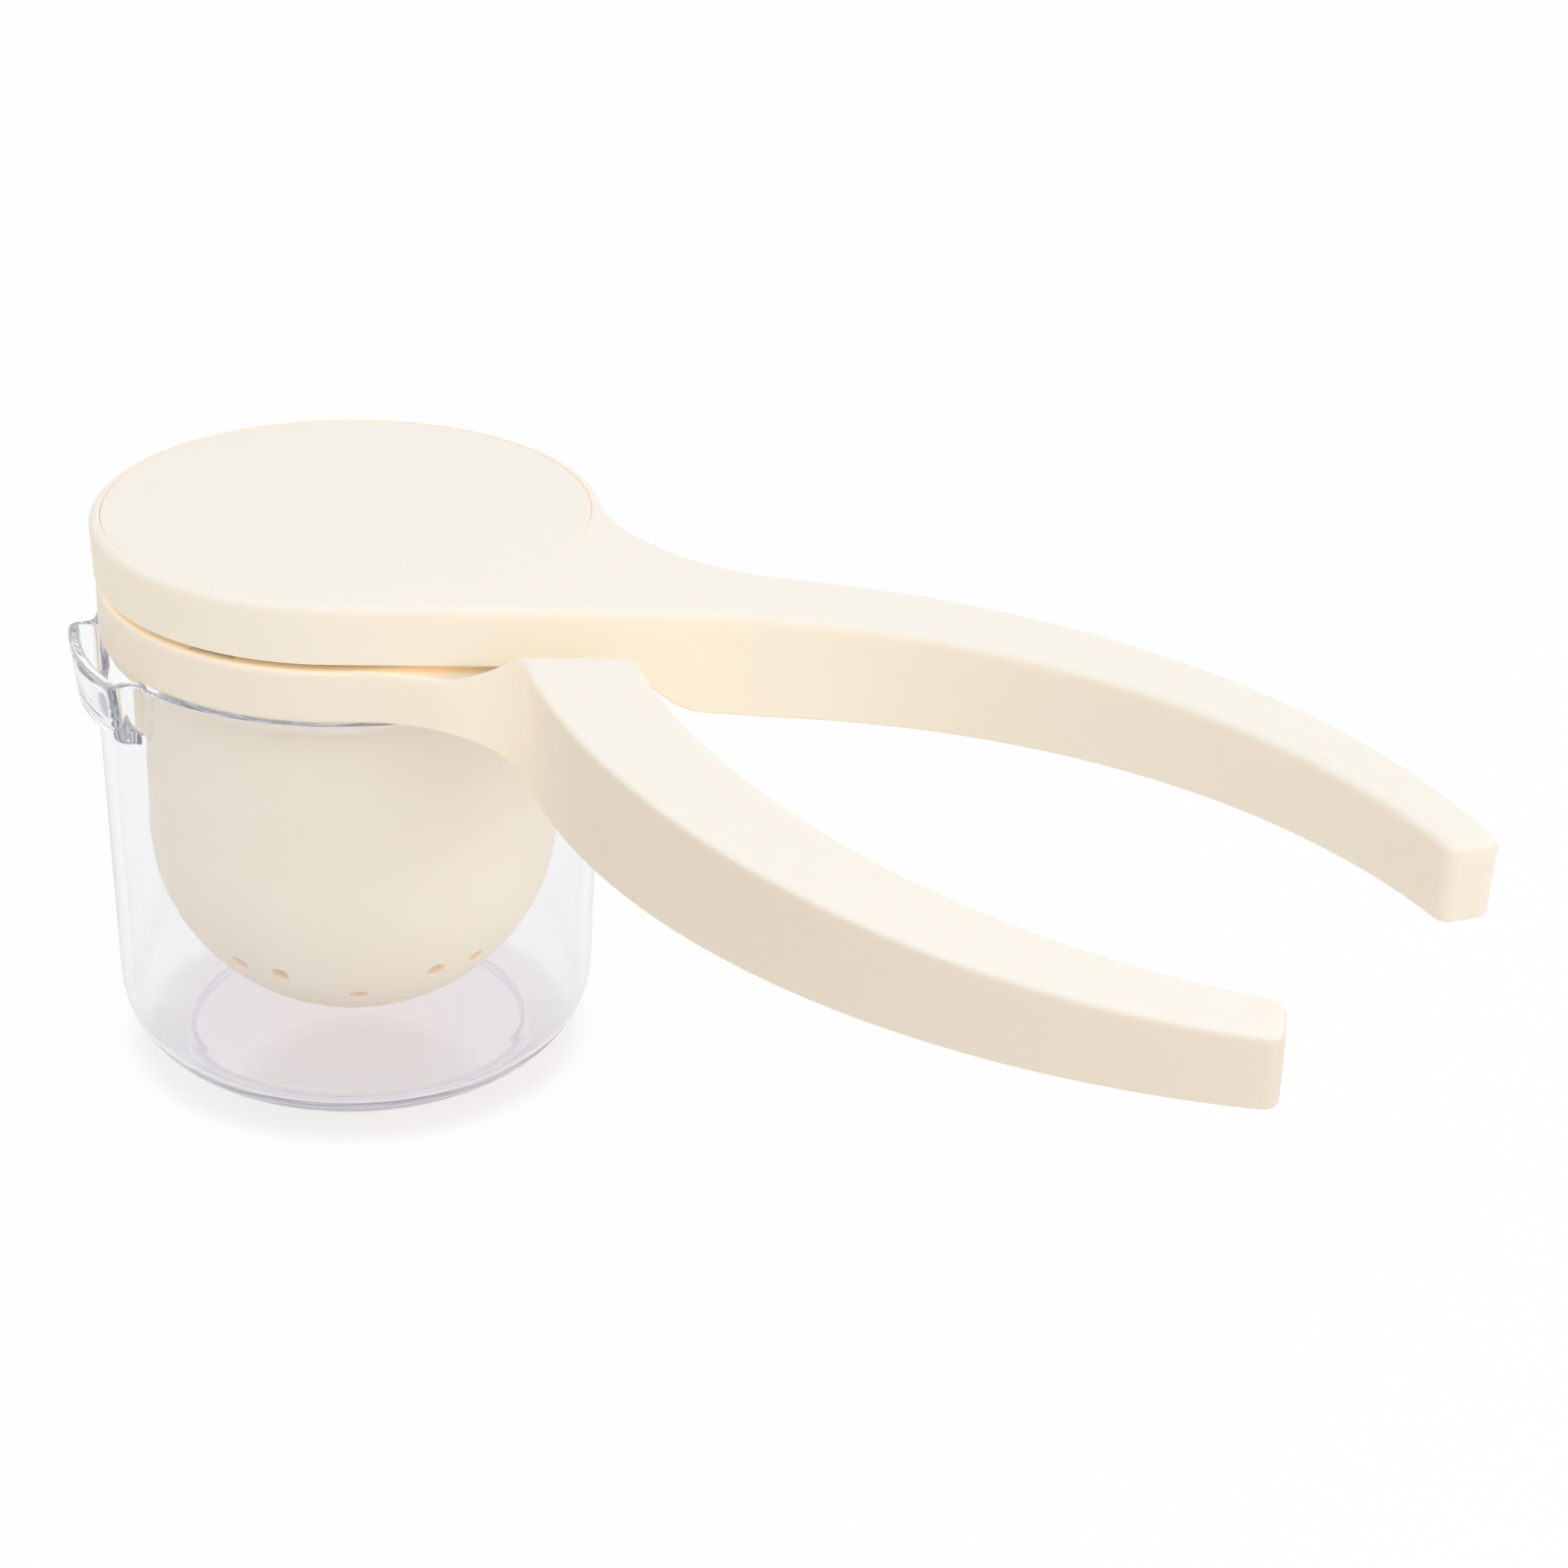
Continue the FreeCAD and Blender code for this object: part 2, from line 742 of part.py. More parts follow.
def build_ring():
    body = new_body("lower_handle_ring_block")
    ring = new_sketch(body, "ring_outline", height=RING_BOTTOM)
    bound_circle(ring, "ring_radius")
    pad(body, "ring_block", ring, "ring_height")
    shape = HandlePlan("ring_radius", "lower_root_round")
    outline = new_sketch(body, "lower_handle_outline", height=RING_BOTTOM)
    curve_outline(outline, side_curves(shape.curves(), -1))
    pad(body, "lower_handle_pad", outline, "lower_height")
    top = new_sketch(body, "lower_handle_top_outline", "YZ_Plane")
    curve_outline(top, closed_by(lower_topside(0), size(f"{LID_TOP} + lower_height")))
    doc.recompute()
    volume = body.Shape.Volume
    pocket(body, "lower_handle_top", top, both_ways=True)
    doc.recompute()
    if body.Shape.Volume > volume - 1000:
        raise RuntimeError("the lower handle's top is not cut")
    round_tip(body, shape, -1, "lower_tip_round")
    top_edges = outer_rim_edges(size(RING_TOP) - 0.05, size(LID_TOP), "YLength")
    dress(body, "Fillet", "lower_edge_round", top_edges, "handle_edge_round")
    low_edges = is_level_at(size(RING_BOTTOM))
    dress(body, "Fillet", "ring_low_edge", low_edges, "ring_low_edge_round")

    skirt = new_sketch(body, "skirt_outline", height=RING_BOTTOM)
    bound_circle(skirt, "cup_rim_radius - cup_wall - skirt_gap")
    bound_circle(skirt, "cup_rim_radius - cup_wall - skirt_gap - skirt_wall")
    pad(body, "skirt", skirt, "skirt_depth", reversed_way=True)
    bore = new_sketch(body, "ring_bore_outline", height=RING_TOP)
    bound_circle(bore, "basket_radius + ring_bore_gap")
    pocket(body, "ring_bore", bore)
    seat = new_sketch(body, "flange_seat_outline", height=RING_TOP)
    bound_circle(seat, "flange_radius + flange_gap")
    pocket(body, "flange_seat", seat, "flange_thickness")
    key = new_sketch(body, "key_seat_outline", height=RING_TOP)
    half = "(key_width / 2 + flange_gap)"
    outer = "(flange_radius + key_reach + flange_gap)"
    straight_outline(
        key,
        [
            ("flange_radius - 1", f"-1 * {half}"),
            (outer, f"-1 * {half}"),
            (outer, half),
            ("flange_radius - 1", half),
        ],
    )
    key_seat = pocket(body, "key_seat", key, "flange_thickness")
    polar_pattern(body, "key_seats", [key_seat], "key_count")
    holes = new_sketch(body, "lower_screw_holes_outline", height=RING_BOTTOM)
    screw_circles(holes, -1, "screw_radius + screw_hole_gap")
    pocket(body, "lower_screw_holes", holes, "screw_length + 1", reversed_way=True)

    hollow = new_body("lower_handle_hollow")
    outline = new_sketch(hollow, "lower_hollow_outline", height=f"{RING_BOTTOM} - 1")
    curve_outline(outline, side_curves(cavity_plan("ring_radius", "lower_root_round"), -1))
    pad(hollow, "lower_hollow_pad", outline, "lower_height + 1")
    roof = new_sketch(hollow, "lower_hollow_roof_outline", "YZ_Plane")
    curve_outline(roof, closed_by(lower_topside(size("handle_top_wall")), size(f"{LID_TOP} + lower_height")))
    pocket(hollow, "lower_hollow_roof", roof, both_ways=True)
    bosses = new_sketch(hollow, "lower_bosses_outline", height=f"{RING_BOTTOM} + cover_thickness + cover_gap")
    screw_circles(bosses, -1, "cover_boss_radius")
    pocket(hollow, "lower_bosses", bosses, reversed_way=True)
    return cut_from(body, hollow, "lower_handle_ring")


def build_lower_cover():
    body = new_body("lower_handle_cover")
    outline = new_sketch(body, "lower_cover_outline", height=RING_BOTTOM)
    curve_outline(outline, side_curves(cavity_plan("ring_radius", "lower_root_round", "cover_gap"), -1))
    pad(body, "lower_cover_plate", outline, "cover_thickness")
    through = new_sketch(body, "lower_cover_holes_outline", height=RING_BOTTOM)
    screw_circles(through, -1, "screw_radius + screw_hole_gap")
    pocket(body, "lower_cover_holes", through, "cover_thickness", reversed_way=True)
    sinks = new_sketch(body, "lower_cover_sinks_outline", height=RING_BOTTOM)
    screw_circles(sinks, -1, "screw_head_radius + screw_hole_gap")
    pocket(body, "lower_cover_sinks", sinks, "screw_head_height + screw_sink", reversed_way=True)
    return body


# Lid with the upper handle


def upper_underside_height(x):
    """Height of the upper handle's underside on its tapered stretch."""
    rise = (x - size("upper_taper_start")) * math.tan(math.radians(size("upper_taper_slope")))
    return size(UPPER_BOTTOM) + max(rise, 0.0)


def build_lid():
    body = new_body("upper_handle_lid_block")
    lid = new_sketch(body, "lid_outline", height=LID_BOTTOM)
    bound_circle(lid, "lid_radius")
    pad(body, "lid_block", lid, "lid_height")
    shape = HandlePlan("lid_radius", "upper_root_round")
    outline = new_sketch(body, "upper_handle_outline", height=UPPER_BOTTOM)
    curve_outline(outline, side_curves(shape.curves(), 1))
    pad(body, "upper_handle_pad", outline, "upper_depth")
    under = new_sketch(body, "upper_handle_under_outline", "XZ_Plane")
    curve_outline(under, closed_by(upper_underside(0), size(f"{RING_BOTTOM} - upper_depth")))
    doc.recompute()
    volume = body.Shape.Volume
    pocket(body, "upper_handle_under", under, both_ways=True)
    doc.recompute()
    if body.Shape.Volume > volume - 1000:
        raise RuntimeError("the upper handle's underside is not cut")
    round_tip(body, shape, 1, "upper_tip_round")
    dress(body, "Fillet", "lid_top_edge", is_level_at(size(LID_TOP)), "lid_edge_round")
    low_edges = outer_rim_edges(0, size(LID_TOP) - size("lid_edge_round") - 1, "XLength")

    def is_low(edge):
        box = edge.BoundBox
        upright = box.ZLength > 3 and box.XLength < 0.6 and box.YLength < 0.6
        return low_edges(edge) and not upright

    dress(body, "Fillet", "lid_low_edge", is_low, "lid_low_edge_round")
    recess = new_sketch(body, "disc_seat_outline", height=LID_TOP)
    bound_circle(recess, "disc_radius + disc_gap")
    pocket(body, "disc_seat", recess, "disc_thickness")
    inside = new_sketch(body, "lid_inside_outline", height=PLATE_BOTTOM)
    bound_circle(inside, "lid_radius - lid_skirt_wall")
    pocket(body, "lid_inside", inside)
    peg = new_sketch(body, "peg_hole_outline", height=PLATE_TOP)
    bound_circle(peg, "disc_peg_radius + disc_gap")
    pocket(body, "peg_hole", peg, "lid_plate")
    hole = new_sketch(body, "core_screw_hole_outline", height=PLATE_TOP)
    bound_circle(hole, "screw_radius + screw_hole_gap", "core_boss_circle")
    drilled = pocket(body, "core_screw_hole", hole, "lid_plate")
    sink = new_sketch(body, "core_screw_sink_outline", height=PLATE_TOP)
    bound_circle(sink, "screw_head_radius + screw_hole_gap", "core_boss_circle")
    sunk = pocket(body, "core_screw_sink", sink, "screw_head_height + screw_sink")
    polar_pattern(body, "core_screw_holes", [drilled, sunk], "core_screw_count")
    holes = new_sketch(body, "upper_screw_holes_outline", height=UPPER_BOTTOM)
    screw_circles(holes, 1, "screw_radius + screw_hole_gap")
    pocket(body, "upper_screw_holes", holes, "upper_depth - handle_top_wall", reversed_way=True)

    hollow = new_body("upper_handle_hollow")
    outline = new_sketch(hollow, "upper_hollow_outline", height=f"{UPPER_BOTTOM} - 1")
    curve_outline(outline, side_curves(cavity_plan("lid_radius", "upper_root_round"), 1))
    pad(hollow, "upper_hollow_pad", outline, "upper_depth + 1 - handle_top_wall")
    bosses = new_body("upper_handle_bosses")
    circles = new_sketch(bosses, "upper_bosses_outline", height=UPPER_BOTTOM)
    screw_circles(circles, 1, "cover_boss_radius")
    pad(bosses, "upper_bosses_pad", circles, "upper_depth")
    under = new_sketch(bosses, "upper_bosses_under_outline", "XZ_Plane")
    raised = upper_underside(size("cover_thickness + cover_gap"))
    curve_outline(under, closed_by(raised, size(f"{RING_BOTTOM} - upper_depth")))
    pocket(bosses, "upper_bosses_under", under, both_ways=True)
    hollow_round_bosses = doc.addObject("Part::Cut", "upper_hollow_round_bosses")
    hollow_round_bosses.Base = hollow
    hollow_round_bosses.Tool = bosses
    return cut_from(body, hollow_round_bosses, "upper_handle_lid")


def build_upper_cover():
    body = new_body("upper_handle_cover")
    outline = new_sketch(body, "upper_cover_outline", height=UPPER_BOTTOM)
    curve_outline(outline, side_curves(cavity_plan("lid_radius", "upper_root_round", "cover_gap"), 1))
    pad(body, "upper_cover_pad", outline, "upper_depth")
    under = new_sketch(body, "upper_cover_under_outline", "XZ_Plane")
    curve_outline(under, closed_by(upper_underside(0), size(f"{RING_BOTTOM} - upper_depth")))
    pocket(body, "upper_cover_under", under, both_ways=True)
    over = new_sketch(body, "upper_cover_over_outline", "XZ_Plane")
    raised = upper_underside(size("cover_thickness"))
    curve_outline(over, closed_by(raised, size(f"{LID_TOP} + lower_height")))
    pocket(body, "upper_cover_over", over, both_ways=True)
    through = new_sketch(body, "upper_cover_holes_outline", height=UPPER_BOTTOM)
    screw_circles(through, 1, "screw_radius + screw_hole_gap")
    pocket(body, "upper_cover_holes", through, reversed_way=True)
    for number, place in enumerate(cover_screw_places(1), start=1):
        floor = upper_underside_height(place.x) + size("screw_head_height + screw_sink")
        sink = new_sketch(body, f"upper_cover_sink_{number}_outline")
        sink.AttachmentOffset = FreeCAD.Placement(point(0, 0, floor), FreeCAD.Rotation())
        sink.addGeometry(Part.Circle(place, point(0, 0, 1), size("screw_head_radius + screw_hole_gap")))
        pocket(body, f"upper_cover_sink_{number}", sink)
    return body


def build_disc():
    body = new_body("lid_disc")
    disc = new_sketch(body, "disc_outline", height=PLATE_TOP)
    bound_circle(disc, "disc_radius")
    pad(body, "disc_plate", disc, "disc_thickness")
    dress(body, "Fillet", "disc_edge", is_circle_at(size("disc_radius"), size(LID_TOP)), "disc_edge_round")
    peg = new_sketch(body, "disc_peg_outline", height=PLATE_TOP)
    bound_circle(peg, "disc_peg_radius")
    pad(body, "disc_peg", peg, "disc_peg_depth", reversed_way=True)
    return body


# Screws


def build_screw(name, place, head_up=True):
    """Countersunk screw whose head's top is at a place."""
    body = new_body(name)
    outline = new_sketch(body, f"{name}_outline", "XZ_Plane")
    straight_outline(
        outline,
        [
            ("0", "0"),
            ("screw_head_radius", "0"),
            ("screw_head_radius", "-1 * screw_head_height"),
            ("screw_radius", "-1 * screw_head_height"),
            ("screw_radius", "-1 * screw_head_height - screw_length + 1"),
            ("0", "-1 * screw_head_height - screw_length + 1"),
        ],
    )
    revolve(body, f"{name}_turned", outline)
    long_half = "(screw_recess_length / 2)"
    short_half = "(screw_recess_width / 2)"
    slot = new_sketch(body, f"{name}_slot_outline")
    straight_outline(
        slot,
        [
            (f"-1 * {long_half}", f"-1 * {short_half}"),
            (long_half, f"-1 * {short_half}"),
            (long_half, short_half),
            (f"-1 * {long_half}", short_half),
        ],
    )
    cut = pocket(body, f"{name}_slot", slot, "screw_recess_depth")
    cross = polar_pattern(body, f"{name}_cross", [cut], "2")
    cross.Angle = 180
    cross.Occurrences = 2
    turn = FreeCAD.Rotation() if head_up else FreeCAD.Rotation(point(1, 0, 0), 180)
    body.Placement = FreeCAD.Placement(place, turn)
    return body


def build_screws():
    sunk = size("screw_sink")
    for number, place in enumerate(cover_screw_places(-1), start=1):
        height = size(RING_BOTTOM) + sunk
        build_screw(f"lower_cover_screw_{number}", point(place.x, place.y, height), head_up=False)
    for number, place in enumerate(cover_screw_places(1), start=1):
        height = upper_underside_height(place.x) + sunk
        build_screw(f"upper_cover_screw_{number}", point(place.x, place.y, height), head_up=False)
    count = int(size("core_screw_count"))
    for number in range(count):
        turn = 2 * math.pi * number / count
        radius = size("core_boss_circle")
        place = point(radius * math.cos(turn), radius * math.sin(turn), size(PLATE_TOP) - sunk)
        build_screw(f"core_screw_{number + 1}", place)


# Strainer basket


def thread_rib(body, name, number, corners, height):
    """One start of a right-handed thread, added as a helical rib."""
    start = f"({number} * 360 / thread_starts)"
    outline = new_sketch(body, f"{name}_outline", "XZ_Plane", turn=start)
    straight_outline(outline, corners)
    rib = body.newObject("PartDesign::AdditiveHelix", name)
    rib.Profile = outline
    rib.ReferenceAxis = (outline, ["V_Axis"])
    rib.Mode = 0
    rib.setExpression("Pitch", bound("thread_lead"))
    rib.setExpression("Height", bound(height))
    return rib


def build_basket():
    body = new_body("strainer_basket_block")
    outline = new_sketch(body, "basket_outline", "XZ_Plane")
    outer = "basket_radius"
    inner = BASKET_BORE
    bowl = "basket_bowl_height"
    bound_outline(
        outline,
        [
            ("0", f"{bowl} - {outer}"),
            (outer, bowl),
            (outer, FLANGE_BOTTOM),
            ("flange_radius", FLANGE_BOTTOM),
            ("flange_radius", RING_TOP),
            (inner, RING_TOP),
            (inner, bowl),
            ("0", f"{bowl} - {inner}"),
        ],
        {
            0: (outer, f"{outer} * 0.7071", f"{bowl} - {outer} * 0.7071"),
            6: (inner, f"{inner} * 0.7071", f"{bowl} - {inner} * 0.7071"),
        },
    )
    revolve(body, "basket_turned", outline)
    key = new_sketch(body, "key_outline", height=FLANGE_BOTTOM)
    straight_outline(
        key,
        [
            ("flange_radius - 1", "-1 * key_width / 2"),
            ("flange_radius + key_reach", "-1 * key_width / 2"),
            ("flange_radius + key_reach", "key_width / 2"),
            ("flange_radius - 1", "key_width / 2"),
        ],
    )
    key_pad = pad(body, "key", key, "flange_thickness")
    polar_pattern(body, "keys", [key_pad], "key_count")
    tip = f"({inner} - thread_rib_reach)"
    root = f"({inner} + basket_wall / 4)"
    slant = "((thread_rib_root - thread_rib_tip) / 2)"
    low = "thread_rib_height"
    for number in range(int(size("thread_starts"))):
        rib = thread_rib(
            body,
            f"basket_thread_{number + 1}",
            number,
            [
                (root, low),
                (root, f"{low} + thread_rib_root"),
                (tip, f"{low} + thread_rib_root - {slant}"),
                (tip, f"{low} + {slant}"),
            ],
            "thread_lead * thread_rib_arc / 360",
        )
        body.Tip = rib

    drills = []
    centre = point(0, 0, size(bowl))
    for row, (height, azimuths) in enumerate(DRAIN_ROWS, start=1):
        for third in range(3):
            for azimuth in azimuths:
                turn = math.radians(azimuth + 120 * third)
                across = math.sqrt(size(outer) ** 2 - (centre.z - height) ** 2)
                way = point(across * math.cos(turn), across * math.sin(turn), height - centre.z).normalize()
                drills.append((f"drain_hole_{row}_{len(drills) + 1}", way))
    cylinders = []
    for name, way in drills:
        drill = doc.addObject("Part::Cylinder", name)
        drill.setExpression("Radius", bound("drain_hole_radius"))
        drill.setExpression("Height", bound("basket_wall + 4"))
        start = centre + way * (size(inner) - 2)
        drill.Placement = FreeCAD.Placement(start, FreeCAD.Rotation(point(0, 0, 1), way))
        cylinders.append(drill)
    holes = doc.addObject("Part::Compound", "drain_holes")
    holes.Links = cylinders
    return cut_from(body, holes, "strainer_basket")


# Core and its seal


def build_core():
    body = new_body("screw_core")
    flange_top = f"({PLATE_BOTTOM} - seal_thickness)"
    flange_bottom = f"({flange_top} - core_flange)"
    outline = new_sketch(body, "core_outline", "XZ_Plane")
    bore = "(swivel_shoulder_radius + swivel_play)"
    straight_outline(
        outline,
        [
            (bore, "core_bottom"),
            (CORE_ROOT, "core_bottom"),
            (CORE_ROOT, flange_bottom),
            (CORE_FLANGE_RADIUS, flange_bottom),
            (CORE_FLANGE_RADIUS, flange_top),
            (CORE_INSIDE, flange_top),
            (CORE_INSIDE, CORE_FLOOR_TOP),
            (bore, CORE_FLOOR_TOP),
        ],
    )
    revolve(body, "core_turned", outline)
    boss = new_sketch(body, "core_boss_outline", height=PLATE_BOTTOM)
    bound_circle(boss, "core_boss_radius", "core_boss_circle")
    boss_pad = pad(body, "core_boss", boss, "core_boss_depth", reversed_way=True)
    polar_pattern(body, "core_bosses", [boss_pad], "core_screw_count")
    hole = new_sketch(body, "core_boss_hole_outline", height=PLATE_BOTTOM)
    bound_circle(hole, "screw_radius + screw_hole_gap", "core_boss_circle")
    drilled = pocket(body, "core_boss_hole", hole, "screw_length")
    polar_pattern(body, "core_boss_holes", [drilled], "core_screw_count")

    spacing = "(thread_lead / thread_starts)"
    width = f"({spacing} - thread_rib_tip - 2 * thread_side_gap)"
    crest = f"({spacing} - thread_rib_root - 2 * thread_side_gap)"
    middle = f"(thread_rib_height + thread_rib_root / 2 + {spacing} / 2)"
    turns_below = math.floor(size(f"({middle} - core_bottom - thread_low_margin) / {spacing}"))
    low = f"({middle} - {turns_below} * {spacing})"
    root = f"({CORE_ROOT} - core_wall / 4)"
    for number in range(int(size("thread_starts"))):
        rib = thread_rib(
            body,
            f"core_thread_{number + 1}",
            number,
            [
                (root, f"{low} - {width} / 2"),
                (CORE_RADIUS, f"{low} - {crest} / 2"),
                (CORE_RADIUS, f"{low} + {crest} / 2"),
                (root, f"{low} + {width} / 2"),
            ],
            f"{flange_bottom} - {low} - {width}",
        )
        body.Tip = rib
    return body


def build_ring_piece(name, inner, outer, bottom, thickness):
    """Flat washer or seal."""
    body = new_body(name)
    outline = new_sketch(body, f"{name}_outline", height=bottom)
    bound_circle(outline, outer)
    bound_circle(outline, inner)
    pad(body, f"{name}_plate", outline, thickness)
    return body


# Press head and its swivel


def build_press_head():
    body = new_body("press_head")
    outline = new_sketch(body, "head_outline", "XZ_Plane")
    rise = f"({HEAD_TOP} - head_side - head_clear_bottom)"
    dome = f"((head_radius ^ 2 + {rise} ^ 2) / (2 * {rise}))"
    centre = f"(head_clear_bottom + {dome})"
    inside = f"({dome} - head_wall)"
    bore = "(swivel_thread_radius + swivel_play)"
    rim = "(head_radius - head_wall)"

    def dome_height(radius, along):
        return f"({centre} - sqrt({radius} ^ 2 - ({along}) ^ 2))"

    bound_outline(
        outline,
        [
            ("0", "head_clear_bottom"),
            ("head_radius", f"{HEAD_TOP} - head_side"),
            ("head_radius", HEAD_TOP),
            (rim, HEAD_TOP),
            (rim, dome_height(inside, rim)),
            ("head_hub_radius", dome_height(inside, "head_hub_radius")),
            ("head_hub_radius", HEAD_TOP),
            (bore, HEAD_TOP),
            (bore, f"{HEAD_TOP} - swivel_thread_length - 1"),
            ("0", f"{HEAD_TOP} - swivel_thread_length - 1"),
        ],
        {
            0: (dome, "head_radius / 2", dome_height(dome, "head_radius / 2")),
            4: (inside, "head_radius / 2", dome_height(inside, "head_radius / 2")),
        },
    )
    revolve(body, "head_turned", outline)
    rib = new_sketch(body, "head_rib_outline", "XZ_Plane")
    first = size("swivel_shoulder_radius")
    last = size("head_radius") - 1.5
    middle = (first + last) / 2
    places = [
        point(first, size(dome_height(dome, str(first))) + 0.3),
        point(middle, size(dome_height(dome, str(middle))) - size("head_rib_depth")),
        point(last, size(dome_height(dome, str(last))) + 0.3),
    ]
    back = point(middle, size(dome_height(dome, str(middle))) + size("head_wall") / 2)
    curve_outline(rib, [tuple(places), (places[2], back, places[0])])
    rib_pad = pad(body, "head_rib", rib, "head_rib_width")
    rib_pad.Midplane = True
    polar_pattern(body, "head_ribs", [rib_pad], "head_rib_count")
    return body


def build_swivel_screw():
    body = new_body("swivel_screw")
    outline = new_sketch(body, "swivel_outline", "XZ_Plane")
    shoulder_top = f"({CORE_FLOOR_TOP} + washer_thickness + 2 * swivel_play)"
    head_top = f"({shoulder_top} + swivel_head_height)"
    tip = f"({HEAD_TOP} - swivel_thread_length)"
    straight_outline(
        outline,
        [
            ("0", tip),
            ("swivel_thread_radius", tip),
            ("swivel_thread_radius", HEAD_TOP),
            ("swivel_shoulder_radius", HEAD_TOP),
            ("swivel_shoulder_radius", shoulder_top),
            ("swivel_head_radius", shoulder_top),
            ("swivel_head_radius", head_top),
            ("0", head_top),
        ],
    )
    revolve(body, "swivel_turned", outline)
    socket = new_sketch(body, "swivel_socket_outline", height=head_top)
    across = "(swivel_socket_width / 2)"
    corner = "(swivel_socket_width / 3 ^ 0.5)"
    straight_outline(
        socket,
        [
            (corner, "0"),
            (f"{corner} / 2", across),
            (f"-1 * {corner} / 2", across),
            (f"-1 * {corner}", "0"),
            (f"-1 * {corner} / 2", f"-1 * {across}"),
            (f"{corner} / 2", f"-1 * {across}"),
        ],
    )
    pocket(body, "swivel_socket", socket, "swivel_socket_depth")
    return body


NODES = [
    "juice_cup",
    "lower_handle_ring",
    "strainer_basket",
    "lower_handle_cover",
    "lower_cover_screw_1",
    "lower_cover_screw_2",
    "lower_cover_screw_3",
    "upper_handle_lid",
    "lid_disc",
    "upper_handle_cover",
    "upper_cover_screw_1",
    "upper_cover_screw_2",
    "upper_cover_screw_3",
    "screw_core",
    "core_seal",
    "core_screw_1",
    "core_screw_2",
    "core_screw_3",
    "core_screw_4",
    "press_head",
    "thrust_washer",
    "retaining_washer",
    "swivel_screw",
]


def check_and_write():
    """Stop at any failed object or bad shape, then write one file per piece."""
    doc.recompute()
    for item in doc.Objects:
        if "Invalid" in item.State or "Error" in item.State:
            raise RuntimeError(f"{item.Name}: {item.getStatusString()}")
    pieces = {item.Label: item for item in doc.Objects}
    for name in NODES:
        shape = pieces[name].Shape
        if shape.isNull() or not shape.isValid() or len(shape.Solids) != 1:
            raise RuntimeError(f"{name}: bad shape with {len(shape.Solids)} solids")
    os.makedirs("parts", exist_ok=True)
    for name in NODES:
        shape = pieces[name].Shape
        shape.exportStep(f"parts/{name}.step")
        box = shape.BoundBox
        print(f"{name}: {shape.Volume:.0f} mm3, z {box.ZMin:.2f} to {box.ZMax:.2f}")


build_cup()
build_ring()
build_lower_cover()
build_lid()
build_upper_cover()
build_disc()
build_screws()
build_basket()
build_core()
build_ring_piece(
    "core_seal",
    f"{CORE_FLANGE_RADIUS} - seal_width",
    CORE_FLANGE_RADIUS,
    f"{PLATE_BOTTOM} - seal_thickness",
    "seal_thickness",
)
build_press_head()
SHOULDER_HOLE = "swivel_shoulder_radius + 3 * swivel_play"
build_ring_piece(
    "thrust_washer", SHOULDER_HOLE, "washer_radius", f"{HEAD_TOP} + swivel_play", "washer_thickness"
)
build_ring_piece(
    "retaining_washer", SHOULDER_HOLE, "washer_radius", f"{CORE_FLOOR_TOP} + swivel_play", "washer_thickness"
)
build_swivel_screw()
check_and_write()
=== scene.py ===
import logging
import math
from dataclasses import asdict, dataclass
from enum import Enum
from functools import cached_property, reduce
from typing import Callable, Sequence

import bpy
from mathutils import Matrix, Vector
from mathutils.geometry import delaunay_2d_cdt


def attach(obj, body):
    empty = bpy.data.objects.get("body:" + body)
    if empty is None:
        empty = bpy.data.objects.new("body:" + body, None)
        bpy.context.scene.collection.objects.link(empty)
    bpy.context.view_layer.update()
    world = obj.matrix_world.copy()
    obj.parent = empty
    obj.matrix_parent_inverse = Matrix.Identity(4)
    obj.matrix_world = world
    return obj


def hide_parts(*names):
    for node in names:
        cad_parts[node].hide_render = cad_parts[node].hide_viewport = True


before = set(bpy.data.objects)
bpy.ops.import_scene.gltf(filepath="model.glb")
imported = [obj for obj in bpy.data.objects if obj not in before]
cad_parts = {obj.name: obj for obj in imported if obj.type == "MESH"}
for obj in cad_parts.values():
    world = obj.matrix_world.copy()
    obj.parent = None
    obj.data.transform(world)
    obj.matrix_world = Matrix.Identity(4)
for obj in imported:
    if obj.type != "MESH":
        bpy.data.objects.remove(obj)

LOG = logging.getLogger("juicer")
MM = 0.001
ROOF_NET = 3.0
QUARTER = math.pi / 2
TURN = 2 * math.pi
Place = tuple[float, float, float]
Flat = tuple[float, float]
Rgb = tuple[int, int, int]
Height = Callable[[float, float], float]
Piece = bpy.types.Object
Material = bpy.types.Material
Node = bpy.types.Node
Socket = bpy.types.NodeSocket


# Meshes


def add_object(name: str, points: Sequence[Place], faces: Sequence[Sequence[int]]) -> Piece:
    """Make a smooth-shaded mesh object from points in millimetres.

    Args:
        name: The object's name.
        points: Vertex places in millimetres.
        faces: Vertex numbers of each face, facing outwards.

    Returns:
        The new object, linked to the scene.
    """
    mesh = bpy.data.meshes.new(name)
    mesh.from_pydata([(x * MM, y * MM, z * MM) for x, y, z in points], [], [list(face) for face in faces])
    mesh.validate()
    return link_smooth(name, mesh)


def link_smooth(name: str, mesh: bpy.types.Mesh) -> Piece:
    """Shade a mesh smooth and link it to the scene as an object.

    Args:
        name: The object's name.
        mesh: Its mesh.

    Returns:
        The new object.
    """
    mesh.polygons.foreach_set("use_smooth", [True] * len(mesh.polygons))
    made = bpy.data.objects.new(name, mesh)
    bpy.context.scene.collection.objects.link(made)
    return made


def quarter(steps: int, first: int = 0) -> list[Flat]:
    """Cosine and sine at each of the even steps through a quarter turn, from a first one on."""
    turns = [QUARTER * step / steps for step in range(first, steps + 1)]
    return [(math.cos(turn), math.sin(turn)) for turn in turns]


